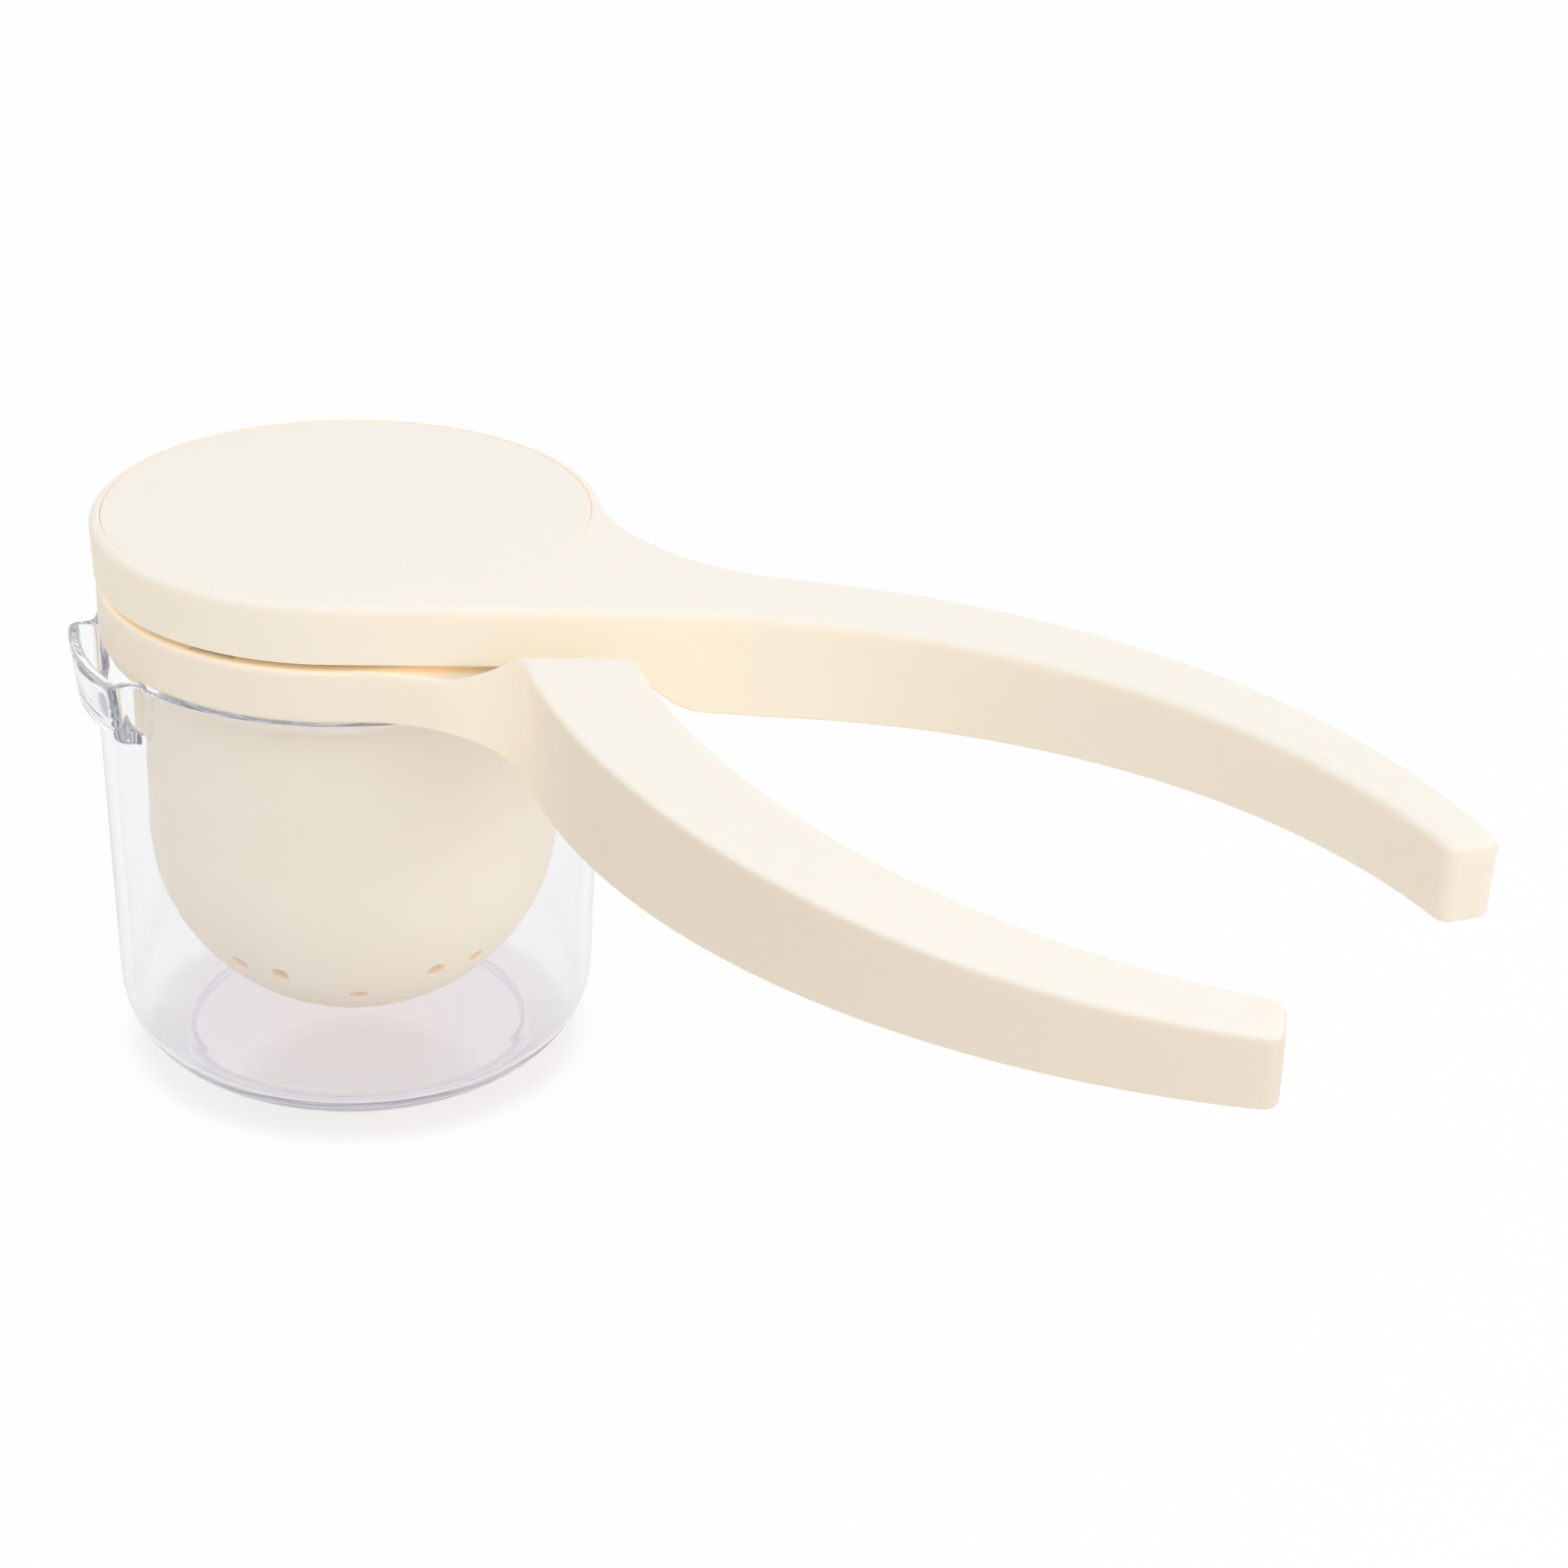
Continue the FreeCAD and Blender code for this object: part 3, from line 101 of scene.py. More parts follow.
def ring_loop(radius: float, height: float, turns: Sequence[float]) -> list[Place]:
    """Places round a level circle at given turns in radians."""
    return [(radius * math.cos(turn), radius * math.sin(turn), height) for turn in turns]


def circle_loop(radius: float, height: float, count: int = 144) -> list[Place]:
    """Places round a level circle about the Z axis, anticlockwise from above."""
    return ring_loop(radius, height, [TURN * step / count for step in range(count)])


def small_circle(centre: Flat, radius: float, height: float, count: int = 32) -> list[Place]:
    """Places round a level circle about a place of its own."""
    return [(centre[0] + x, centre[1] + y, z) for x, y, z in circle_loop(radius, height, count)]


def level(height: float) -> Height:
    """Level surface at a height."""
    return lambda x, y: height


def lifted(loop: Sequence[Flat], height: Height) -> list[Place]:
    """Loop in plan brought to a surface."""
    return [(x, y, height(x, y)) for x, y in loop]


@dataclass
class Area:
    """Flat area bounded by an outer loop, less its holes."""

    outer: list[Flat]
    holes: list[list[Flat]]
    edge_gap: float = 0.55

    @staticmethod
    def _inside(loop: Sequence[Flat], x: float, y: float) -> bool:
        """Tell whether a place is within a loop.

        Args:
            loop: The loop's places in order.
            x: The place's first coordinate.
            y: Its second one.

        Returns:
            Whether it is inside.
        """
        inside = False
        last_x, last_y = loop[-1]
        for next_x, next_y in loop:
            crosses = (next_y > y) != (last_y > y)
            if crosses and x < (last_x - next_x) * (y - next_y) / (last_y - next_y) + next_x:
                inside = not inside
            last_x, last_y = next_x, next_y
        return inside

    def holds(self, x: float, y: float) -> bool:
        """Tell whether a place is in the area."""
        return self._inside(self.outer, x, y) and not any(self._inside(hole, x, y) for hole in self.holes)

    def net(self, spacing: float) -> list[Flat]:
        """Evenly spaced places inside the area, away from its edges.

        Args:
            spacing: Distance between neighbours.

        Returns:
            The places, row by row.
        """
        cells: dict[tuple[int, int], list[Flat]] = {}
        for loop in [self.outer] + self.holes:
            for x, y in loop:
                cells.setdefault((round(x / spacing), round(y / spacing)), []).append((x, y))
        xs, ys = zip(*self.outer)
        row_gap = spacing * math.sqrt(3) / 2
        places: list[Flat] = []
        for row in range(int((max(ys) - min(ys)) / row_gap) + 1):
            y = min(ys) + (row + 0.5) * row_gap
            shift = 0.25 if row % 2 else 0.75
            for column in range(int((max(xs) - min(xs)) / spacing) + 1):
                x = min(xs) + (column + shift) * spacing
                if not self.holds(x, y):
                    continue
                home = (round(x / spacing), round(y / spacing))
                near = (
                    place
                    for i in (-1, 0, 1)
                    for j in (-1, 0, 1)
                    for place in cells.get((home[0] + i, home[1] + j), ())
                )
                if all(math.hypot(x - px, y - py) > spacing * self.edge_gap for px, py in near):
                    places.append((x, y))
        return places


class Builder:
    """Collects the points and faces of one closed mesh."""

    def __init__(self) -> None:
        """Start with nothing in it."""
        self.points: list[Place] = []
        self.faces: list[tuple[int, ...]] = []

    def add_loop(self, places: Sequence[Place]) -> list[int]:
        """Add places and return their numbers."""
        self.points.extend(places)
        return list(range(len(self.points) - len(places), len(self.points)))

    def join_loops(self, first: Sequence[int], second: Sequence[int]) -> None:
        """Join two loops of the same length with quads.

        Args:
            first: Numbers of the first loop's points.
            second: Numbers of the loop that comes after it, away from the outside.
        """
        for n, following in enumerate([*range(1, len(first)), 0]):
            self.faces.append((first[n], first[following], second[following], second[n]))

    def join_rows(self, rows: Sequence[Sequence[int]], turned: bool = False) -> None:
        """Join each loop to the one that follows it, or turned, with the quads the other way round."""
        for first, second in zip(rows, rows[1:]):
            self.join_loops(*((second, first) if turned else (first, second)))

    def fan(self, loop: Sequence[int], centre: Place) -> None:
        """Close a loop with triangles to a new point."""
        middle = self.add_loop([centre])[0]
        self.faces += [(point, loop[(n + 1) % len(loop)], middle) for n, point in enumerate(loop)]

    def cap(
        self,
        outer: Sequence[int],
        holes: Sequence[Sequence[int]],
        height: Height,
        spacing: float,
        upwards: bool,
    ) -> None:
        """Fill the area between an outer loop and holes with a draped net of triangles.

        Args:
            outer: Numbers of the outer loop's points.
            holes: Numbers of each hole's points.
            height: Height of the surface at a place in plan.
            spacing: Distance between the net's own points.
            upwards: Whether the faces look up.
        """
        loops = [list(outer)] + [list(hole) for hole in holes]
        flat = [[self.points[n][:2] for n in loop] for loop in loops]
        numbers = [n for loop in loops for n in loop]
        edges: list[tuple[int, int]] = []
        for loop in loops:
            start, count = len(edges), len(loop)
            edges += [(start + n, start + (n + 1) % count) for n in range(count)]
        area = Area(flat[0], flat[1:])
        plan = [place for loop in flat for place in loop] + area.net(spacing)
        result = delaunay_2d_cdt([Vector(place) for place in plan], edges, [], 0, 1e-6)
        places, triangles, origins = result[0], result[2], result[3]
        mapped: list[int] = []
        for (x, y), origin in zip(places, origins):
            source = min(origin) if origin else -1
            if 0 <= source < len(numbers):
                mapped.append(numbers[source])
            else:
                mapped.append(self.add_loop([(x, y, height(x, y))])[0])
        for corners in triangles:
            first, second, third = (places[n] for n in corners)
            if not area.holds(*(sum(parts) / 3 for parts in zip(first, second, third))):
                continue
            face = [mapped[n] for n in corners]
            if ((second - first).cross(third - first) > 0) != upwards:
                face.reverse()
            self.faces.append(tuple(face))

    def finish(self, name: str) -> Piece:
        """Turn what was collected into an object."""
        return add_object(name, self.points, self.faces)


def turned_shape(
    name: str, profile: Sequence[Flat], count: int, closed: bool = False, shift: float = 0.0
) -> Piece:
    """Shape turned about the Z axis, as an object of its own.

    Args:
        name: The object's name.
        profile: Radius and height of each point, with the outside on the right
            of the way along it when it is seen with the axis on the left.
        count: Steps round the axis.
        closed: Whether the profile's end joins its start.
        shift: How far the shape is moved along the X axis.

    Returns:
        The object.
    """
    builder = Builder()
    loops: list[list[int]] = []
    for radius, height in profile:
        places = circle_loop(radius, height, count) if radius > 0 else [(0.0, 0.0, height)]
        loops.append(builder.add_loop([(x + shift, y, z) for x, y, z in places]))
    for first, second in zip(loops, loops[1:] + loops[:1] if closed else loops[1:]):
        if len(first) == 1:
            builder.faces += [(first[0], second[(n + 1) % count], second[n]) for n in range(count)]
        elif len(second) == 1:
            builder.faces += [(first[n], first[(n + 1) % count], second[0]) for n in range(count)]
        else:
            builder.join_loops(first, second)
    return builder.finish(name)


def rounded(profile: Sequence[tuple[float, float, float]], steps: int = 6) -> list[Flat]:
    """Profile with its corners rounded.

    Args:
        profile: Radius, height and rounding of each corner.
        steps: Pieces in each rounding.

    Returns:
        The places along the rounded profile.
    """
    places: list[Flat] = []
    for number, (x, y, amount) in enumerate(profile):
        if amount <= 0 or number in (0, len(profile) - 1):
            places.append((x, y))
            continue
        here = Vector((x, y))
        before = (Vector(profile[number - 1][:2]) - here).normalized()
        after = (Vector(profile[number + 1][:2]) - here).normalized()
        half = before.angle(after) / 2
        back = amount / math.tan(half)
        centre = here + (before + after).normalized() * (amount / math.sin(half))
        start = here + before * back - centre
        end = here + after * back - centre
        turn = math.atan2(start.x * end.y - start.y * end.x, start.dot(end))
        for step in range(steps + 1):
            cos, sin = math.cos(turn * step / steps), math.sin(turn * step / steps)
            spoke = Vector((start.x * cos - start.y * sin, start.x * sin + start.y * cos))
            places.append((centre.x + spoke.x, centre.y + spoke.y))
    return places


# Plan and side view of the two handles, in millimetres


def arc_places(centre: Vector, radius: float, first: float, last: float, count: int) -> list[Flat]:
    """Places along an arc between two angles in radians, without the last one."""
    turns = [first + (last - first) * n / count for n in range(count)]
    return [(centre.x + radius * math.cos(turn), centre.y + radius * math.sin(turn)) for turn in turns]


def angle_of(way: Vector) -> float:
    """Angle of a flat direction, in radians."""
    return math.atan2(way.y, way.x)


class Side(Enum):
    """Which of the two handles an outline is for."""

    UPPER = 1
    LOWER = -1


@dataclass(frozen=True)
class HandlePlan:
    """Plan of a round hub with a curved handle flaring out of it.

    The sizes are given along the line that bisects the two handles and across
    it; the lower handle is the upper one's mirror image.
    """

    side: Side
    hub_radius: float
    root_round: float
    bisector: float = math.radians(-43.31)
    inner_centre: Vector = Vector((153.8, -93.2))
    inner_radius: float = 128.0
    outer_centre: Vector = Vector((144.8, -84.4))
    outer_radius: float = 134.0
    tip_turn: float = math.radians(57.35)
    tip_round: float = 2.6
    least_round: float = 0.3
    straight_steps: int = 10
    handle_steps: int = 56
    root_steps: int = 28
    tip_steps: int = 6
    end_steps: int = 4
    hub_steps: int = 120
    web_steps: int = 16
    screw_first: float = 84.0
    screw_apart: float = 54.0
    screw_count: int = 3

    def _turned(self, places: Sequence[Flat]) -> list[Flat]:
        """Turn places from the bisector's frame into plan."""
        cos, sin, way = math.cos(self.bisector), math.sin(self.bisector), self.side.value
        return [(u * cos - v * way * sin, u * sin + v * way * cos) for u, v in places]

    def _root(self, inset: float) -> tuple[Vector, float]:
        """Centre and radius of the hollow curve outside the handle's root.

        Args:
            inset: How far the outline is moved in.

        Returns:
            The centre and the radius.
        """
        radius = self.root_round + inset
        first = self.hub_radius + self.root_round
        second = self.outer_radius + self.root_round
        reach = self.outer_centre.length
        along = (reach**2 + first**2 - second**2) / (2 * reach)
        across = math.sqrt(first**2 - along**2)
        way = self.outer_centre / reach
        return Vector((way.x * along - way.y * across, way.y * along + way.x * across)), radius

    def _tip(self, inset: float, corner: float) -> tuple[list[Flat], float, float]:
        """Rounded end of the handle, from its inner edge to its outer edge.

        Args:
            inset: How far the outline is moved in.
            corner: Radius of the two corners.

        Returns:
            The end's places, and the angles at which the inner and the outer
            edge's arcs meet it, seen from their centres.
        """
        across = Vector((math.cos(self.tip_turn), math.sin(self.tip_turn)))
        forward = Vector((math.sin(self.tip_turn), -math.cos(self.tip_turn)))
        foot = self.outer_centre - forward * (inset + corner)

        def meet(centre: Vector, radius: float) -> Vector:
            """Where the end's line meets a circle."""
            offset, half = foot - centre, (foot - centre).dot(across)
            return foot + across * (-half + math.sqrt(half**2 - offset.dot(offset) + radius**2))

        inner = meet(self.inner_centre, self.inner_radius + inset + corner)
        outer = meet(self.outer_centre, self.outer_radius - inset - corner)
        inner_turn = angle_of(inner - self.inner_centre)
        outer_turn = angle_of(outer - self.outer_centre)
        places = arc_places(inner, corner, inner_turn - math.pi, angle_of(forward), self.tip_steps)
        start, end = inner + forward * corner, outer + forward * corner
        places += [tuple(start.lerp(end, n / self.end_steps)) for n in range(self.end_steps)]
        places += arc_places(outer, corner, angle_of(forward), outer_turn, self.tip_steps)
        return places, inner_turn, outer_turn

    def loop(self, inset: float = 0.0, web: float | None = None) -> list[Flat]:
        """Closed outline in plan, anticlockwise from above.

        Args:
            inset: How far it is moved in from the real edge.
            web: Radius at which a hollow's outline stops short of the hub, or
                none for the outline with the hub in it.

        Returns:
            The outline's places.
        """
        hub = self.hub_radius - inset
        inner_radius = self.inner_radius + inset
        turn = angle_of(self.inner_centre)
        turn += math.asin((hub + inner_radius) / self.inner_centre.length)
        way = Vector((math.cos(turn), math.sin(turn)))
        normal = Vector((-way.y, way.x))
        root_centre, root_radius = self._root(inset)
        tip, inner_turn, outer_turn = self._tip(inset, max(self.tip_round - inset, self.least_round))
        start = normal * -hub
        bend = self.inner_centre + normal * inner_radius
        reach = root_centre.length
        far = root_centre / reach * hub
        if web is not None:
            start = start + way * math.sqrt(web**2 - hub**2)
            along = (reach**2 + web**2 - root_radius**2) / (2 * reach)
            across = math.sqrt(web**2 - along**2)
            out = root_centre / reach
            far = out * along + Vector((out.y, -out.x)) * across
        root_turn = angle_of(root_centre - self.outer_centre)
        root_start = angle_of(self.outer_centre - root_centre)
        root_end = angle_of(far - root_centre)
        if root_end > root_start:
            root_end -= TURN
        steps = self.straight_steps
        places: list[Flat] = [tuple(start.lerp(bend, n / steps)) for n in range(steps)]
        places += arc_places(self.inner_centre, inner_radius, angle_of(normal), inner_turn, self.handle_steps)
        places += tip
        outer_radius = self.outer_radius - inset
        places += arc_places(self.outer_centre, outer_radius, outer_turn, root_turn, self.handle_steps)
        places += arc_places(root_centre, root_radius, root_start, root_end, self.root_steps)
        first, last = angle_of(far), angle_of(start)
        if web is None:
            last += TURN if last < first else 0
            places += arc_places(Vector((0, 0)), hub, first, last, self.hub_steps)
        else:
            places += arc_places(Vector((0, 0)), web, first, last, self.web_steps)
        places = self._turned(places)
        return places if self.side is Side.UPPER else places[::-1]

    def screw_places(self) -> list[Flat]:
        """Places of the cover's screws, midway between the handle's edges.

        Returns:
            The places, from the hub outwards.
        """
        places: list[Flat] = []
        for number in range(self.screw_count):
            along = self.screw_first + self.screw_apart * number
            inner = math.sqrt(self.inner_radius**2 - (along - self.inner_centre.x) ** 2)
            outer = math.sqrt(self.outer_radius**2 - (along - self.outer_centre.x) ** 2)
            places.append((along, (self.inner_centre.y + inner + (self.outer_centre.y + outer)) / 2))
        return self._turned(places)


@dataclass(frozen=True)
class SoftStep:
    """Step between two levels, with a hollow and a rounded end joined by a slope."""

    start: float
    rise: float
    radius: float
    slope: float = math.radians(38.5)

    def __call__(self, along: float) -> float:
        """Height above the first level at a distance along.

        Args:
            along: Distance from where the step's own start is measured.

        Returns:
            The height, less than nil for a step down.
        """
        rise = abs(self.rise)
        arc_run = self.radius * math.sin(self.slope)
        arc_rise = self.radius * (1 - math.cos(self.slope))
        straight = (rise - 2 * arc_rise) / math.tan(self.slope)
        run = 2 * arc_run + straight
        distance = along - self.start
        if distance <= 0:
            height = 0.0
        elif distance < arc_run:
            height = self.radius - math.sqrt(self.radius**2 - distance**2)
        elif distance < arc_run + straight:
            height = arc_rise + (distance - arc_run) * math.tan(self.slope)
        elif distance < run:
            height = rise - self.radius + math.sqrt(self.radius**2 - (run - distance) ** 2)
        else:
            height = rise
        return math.copysign(height, self.rise)


@dataclass(frozen=True)
class HandledHub:
    """Closed shell of a hub and its handle, with rounded edges and a slight draft."""

    plan: HandlePlan
    top: Height
    bottom: Height
    top_round: float
    bottom_round: float
    draft_bottom: float
    round_steps: int = 7
    wall_steps: int = 5
    net_spacing: float = 1.6

    def build(
        self,
        builder: Builder,
        top_holes: Sequence[Sequence[Place]],
        bottom_holes: Sequence[Sequence[Place]],
    ) -> tuple[list[list[int]], list[list[int]]]:
        """Add the shell to a mesh.

        Args:
            builder: Where it goes.
            top_holes: Loops left open in the top.
            bottom_holes: Loops left open in the underside.

        Returns:
            The numbers of the points round the top's and the underside's holes.
        """
        rows: list[list[int]] = []

        def add_row(inset: float, mix: float, up: float, down: float) -> None:
            """Add one row of the edge.

            Args:
                inset: How far it is moved in.
                mix: Its share of the way down from the top to the underside.
                up: Fall from the top.
                down: Rise from the underside.
            """
            places = []
            for x, y in self.plan.loop(inset):
                high = self.top(x, y) - up
                low = self.bottom(x, y) + down
                places.append((x, y, high * (1 - mix) + low * mix))
            rows.append(builder.add_loop(places))

        for cos, sin in quarter(self.round_steps):
            add_row(self.top_round * (1 - sin), 0.0, self.top_round * (1 - cos), 0.0)
        for step in range(1, self.wall_steps):
            mix = step / self.wall_steps
            add_row(self.draft_bottom * mix, mix, self.top_round, self.bottom_round)
        for cos, sin in quarter(self.round_steps):
            inset = self.draft_bottom + self.bottom_round * (1 - cos)
            add_row(inset, 1.0, 0.0, self.bottom_round * (1 - sin))
        builder.join_rows(rows, turned=True)
        top_loops = [builder.add_loop(hole) for hole in top_holes]
        bottom_loops = [builder.add_loop(hole) for hole in bottom_holes]
        builder.cap(rows[0], top_loops, self.top, self.net_spacing, upwards=True)
        builder.cap(rows[-1], bottom_loops, self.bottom, self.net_spacing, upwards=False)
        return top_loops, bottom_loops


# Node trees


class Graph:
    """Node tree that shaders and geometry share the handling of."""

    tree: bpy.types.NodeTree

    def node(self, kind: str, settings: dict[str, object] | None = None, **sockets: object) -> Node:
        """Add any node.

        Args:
            kind: The node's type.
            settings: Its settings, set before its sockets.
            **sockets: Values, Value objects or output sockets for its inputs,
                by name with underscores for spaces.

        Returns:
            The new node.
        """
        made = self.tree.nodes.new(kind)
        for key, value in (settings or {}).items():
            setattr(made, key, value)
        for key, value in sockets.items():
            self.feed(made.inputs[key.replace("_", " ")], value)
        return made

    def feed(self, target: Socket, value: object) -> None:
        """Link or set one input.

        Args:
            target: The input.
            value: Number, colour, Value object or output socket for it, or a
                list of sockets for an input that takes several.
        """
        if isinstance(value, Value):
            value = value.socket
        if isinstance(value, list):
            for part in value:
                self.feed(target, part)
        elif isinstance(value, Socket):
            self.tree.links.new(value, target)
        elif isinstance(value, tuple) and len(value) == 3 and target.type == "RGBA":
            target.default_value = (*value, 1.0)
        else:
            target.default_value = value

    def feed_all(self, node: Node, *values: object, first: int = 0) -> Node:
        """Link or set a node's inputs by their order.

        Args:
            node: The node.
            *values: What its inputs are given.
            first: Number of the first input.

        Returns:
            The node.
        """
        for number, value in enumerate(values, start=first):
            self.feed(node.inputs[number], value)
        return node

    def value(self, node: Node, output: str | int = 0) -> "Value":
        """Wrap a node's output for arithmetic."""
        return Value(self, node.outputs[output])


class Value:
    """Number in a node tree, with arithmetic that adds Math nodes."""

    def __init__(self, graph: Graph, socket: Socket) -> None:
        """Wrap an output socket."""
        self.graph = graph
        self.socket = socket

    def math(self, operation: str, *others: object, reflected: bool = False) -> "Value":
        """Result of a Math node with this value first.

        Args:
            operation: The Math node's operation.
            *others: The values or numbers that follow this one.
            reflected: Whether this value comes last instead.

        Returns:
            The result.
        """
        values = (*others, self) if reflected else (self, *others)
        made = self.graph.node("ShaderNodeMath", {"operation": operation})
        return self.graph.value(self.graph.feed_all(made, *values))

    def __add__(self, other: object) -> "Value":
        """Sum."""
        return self.math("ADD", other)

    __radd__ = __add__

    def __sub__(self, other: object) -> "Value":
        """Difference."""
        return self.math("SUBTRACT", other)

    def __rsub__(self, other: object) -> "Value":
        """Difference from a number."""
        return self.math("SUBTRACT", other, reflected=True)

    def __mul__(self, other: object) -> "Value":
        """Product."""
        return self.math("MULTIPLY", other)

    __rmul__ = __mul__

    def __truediv__(self, other: object) -> "Value":
        """Quotient."""
        return self.math("DIVIDE", other)

    def __pow__(self, other: object) -> "Value":
        """Power."""
        return self.math("POWER", other)

    def larger(self, other: object) -> "Value":
        """The larger of this value and another."""
        return self.math("MAXIMUM", other)

    def between(self, low: float, high: float) -> "Value":
        """Smooth rise from 0 at low to 1 at high."""
        made = self.graph.node("ShaderNodeMapRange", {"interpolation_type": "SMOOTHSTEP"}, Value=self)
        return self.graph.value(self.graph.feed_all(made, low, high, first=1), "Result")

    def until(self, low: float, high: float) -> "Value":
        """Smooth fall from 1 at low to 0 at high."""
        return 1.0 - self.between(low, high)


def lengths(**millimetres: float) -> dict[str, float]:
    """Inputs of a geometry tree in metres, by name with underscores for spaces."""
    return {name.replace("_", " "): value * MM for name, value in millimetres.items()}


@dataclass(frozen=True)
class Thread:
    """Rib of a right-handed thread.

    It stands off a radius by its reach, inwards when that is less than nil. It
    is so wide at its root and its tip, starts at a height and rises to its end
    with a lead.
    """

    radius: float
    reach: float
    root: float
    tip: float
    start: float
    rise: float
    lead: float


class GeometryTree(Graph):
    """Geometry node tree that is run once and left as plain meshes."""

    kinds: dict[type, str] = {float: "NodeSocketFloat", int: "NodeSocketInt"}
    rib_steps: int = 72
    fade_slope: float = 12.0
    fade_least: float = 0.12

    def __init__(self, name: str, inputs: dict[str, object]) -> None:
        """Make an empty tree with a geometry input and named inputs.

        Args:
            name: The tree's name.
            inputs: Value of each input apart from the geometry: a float, an
                int or an object.
        """
        self.tree = bpy.data.node_groups.new(name, "GeometryNodeTree")
        face = self.tree.interface
        face.new_socket("Geometry", in_out="INPUT", socket_type="NodeSocketGeometry")
        self.values: dict[str, object] = {}
        for label, value in inputs.items():
            kind = self.kinds.get(type(value), "NodeSocketObject")
            self.values[face.new_socket(label, in_out="INPUT", socket_type=kind).identifier] = value
        face.new_socket("Geometry", in_out="OUTPUT", socket_type="NodeSocketGeometry")
        self.start = self.tree.nodes.new("NodeGroupInput")
        self.end = self.tree.nodes.new("NodeGroupOutput")

    def given(self, name: str) -> Value:
        """One of the tree's inputs."""
        return Value(self, self.start.outputs[name])

    def shape(self, name: str) -> Socket:
        """Geometry of an object that is one of the tree's inputs."""
        return self.node("GeometryNodeObjectInfo", Object=self.given(name)).outputs["Geometry"]

    def vector(self, x: object = 0.0, y: object = 0.0, z: object = 0.0) -> Socket:
        """Vector from three numbers or values."""
        return self.node("ShaderNodeCombineXYZ", X=x, Y=y, Z=z).outputs[0]

    def join(self, *parts: object) -> Socket:
        """Several geometries as one."""
        return self.node("GeometryNodeJoinGeometry", Geometry=list(parts)).outputs[0]

    def cut(self, body: object, *tools: object) -> Socket:
        """Geometry with the shape of each tool taken out of it."""
        settings = {"operation": "DIFFERENCE", "solver": "EXACT"}
        return self.node("GeometryNodeMeshBoolean", settings, Mesh_1=body, Mesh_2=list(tools)).outputs[0]

    def copies(self, points: object, part: object, turn: Socket) -> Socket:
        """Copies of a part at points, turned, as instances."""
        kind = "GeometryNodeInstanceOnPoints"
        return self.node(kind, Points=points, Instance=part, Rotation=turn).outputs[0]

    def round_the_axis(self, part: Socket, count: Value) -> Socket:
        """Copies of a part evenly round the Z axis, as instances."""
        turn = self.value(self.node("GeometryNodeInputIndex")) * TURN / count
        return self.copies(self.node("GeometryNodePoints", Count=count).outputs[0], part, self.vector(z=turn))

    def thread_rib(self) -> Socket:
        """Rib whose sizes are inputs named as in Thread, fading out at both ends.

        Returns:
            The rib at its height.
        """
        radius, reach, rise, lead = (self.given(name) for name in ("radius", "reach", "rise", "lead"))
        spiral = self.node(
            "GeometryNodeCurveSpiral",
            Resolution=self.rib_steps,
            Rotations=rise / lead,
            Start_Radius=radius,
            End_Radius=radius,
            Height=rise,
            Reverse=True,
        )
        upright = self.node("GeometryNodeSetCurveNormal", {"mode": "Z_UP"}, Curve=spiral.outputs[0])
        way = reach / reach.math("ABSOLUTE")
        corners = ((0.0, "root", -0.5), (reach, "tip", -0.5), (reach, "tip", 0.5), (0.0, "root", 0.5))
        outline = self.node("GeometryNodeCurvePrimitiveQuadrilateral", {"mode": "POINTS"})
        for number, (out, width, share) in enumerate(corners, start=1):
            corner = self.vector(out, self.given(width) * way * share)
            self.feed(outline.inputs[f"Point {number}"], corner)
        along = self.value(self.node("GeometryNodeSplineParameter"), "Factor")
        fade = along.math("MINIMUM", 1 - along) * rise / lead * self.fade_slope
        rib = self.node(
            "GeometryNodeCurveToMesh",
            Curve=upright.outputs[0],
            Profile_Curve=outline.outputs[0],
            Scale=(fade + self.fade_least).math("MINIMUM", 1.0),
            Fill_Caps=True,
        )
        place = self.vector(z=self.given("start"))
        return self.node("GeometryNodeTransform", Geometry=rib.outputs[0], Translation=place).outputs[0]

    def run(
        self,
        name: str,
        geometry: Socket,
        finish: Material,
        source: Piece,
    ) -> Piece:
        """End the tree, run it on an object and remove that object and its inputs.

        Args:
            name: Name of the result.
            geometry: What the tree makes.
            finish: Material all over it.
            source: The object the tree starts from.

        Returns:
            A plain mesh object at the origin.
        """
        real = self.node("GeometryNodeRealizeInstances", Geometry=geometry)
        dressed = self.node("GeometryNodeSetMaterial", Geometry=real.outputs[0], Material=finish)
        self.feed(self.end.inputs[0], dressed.outputs[0])
        modifier = source.modifiers.new("made", "NODES")
        modifier.node_group = self.tree
        for key, value in self.values.items():
            modifier[key] = value
        bpy.context.view_layer.update()
        graph = bpy.context.evaluated_depsgraph_get()
        mesh = bpy.data.meshes.new_from_object(source.evaluated_get(graph), depsgraph=graph)
        source.modifiers.remove(modifier)
        helpers = [value for value in self.values.values() if isinstance(value, bpy.types.Object)]
        for helper in [source] + helpers:
            bpy.data.objects.remove(helper)
        mesh.name = name
        return link_smooth(name, mesh)


# Materials


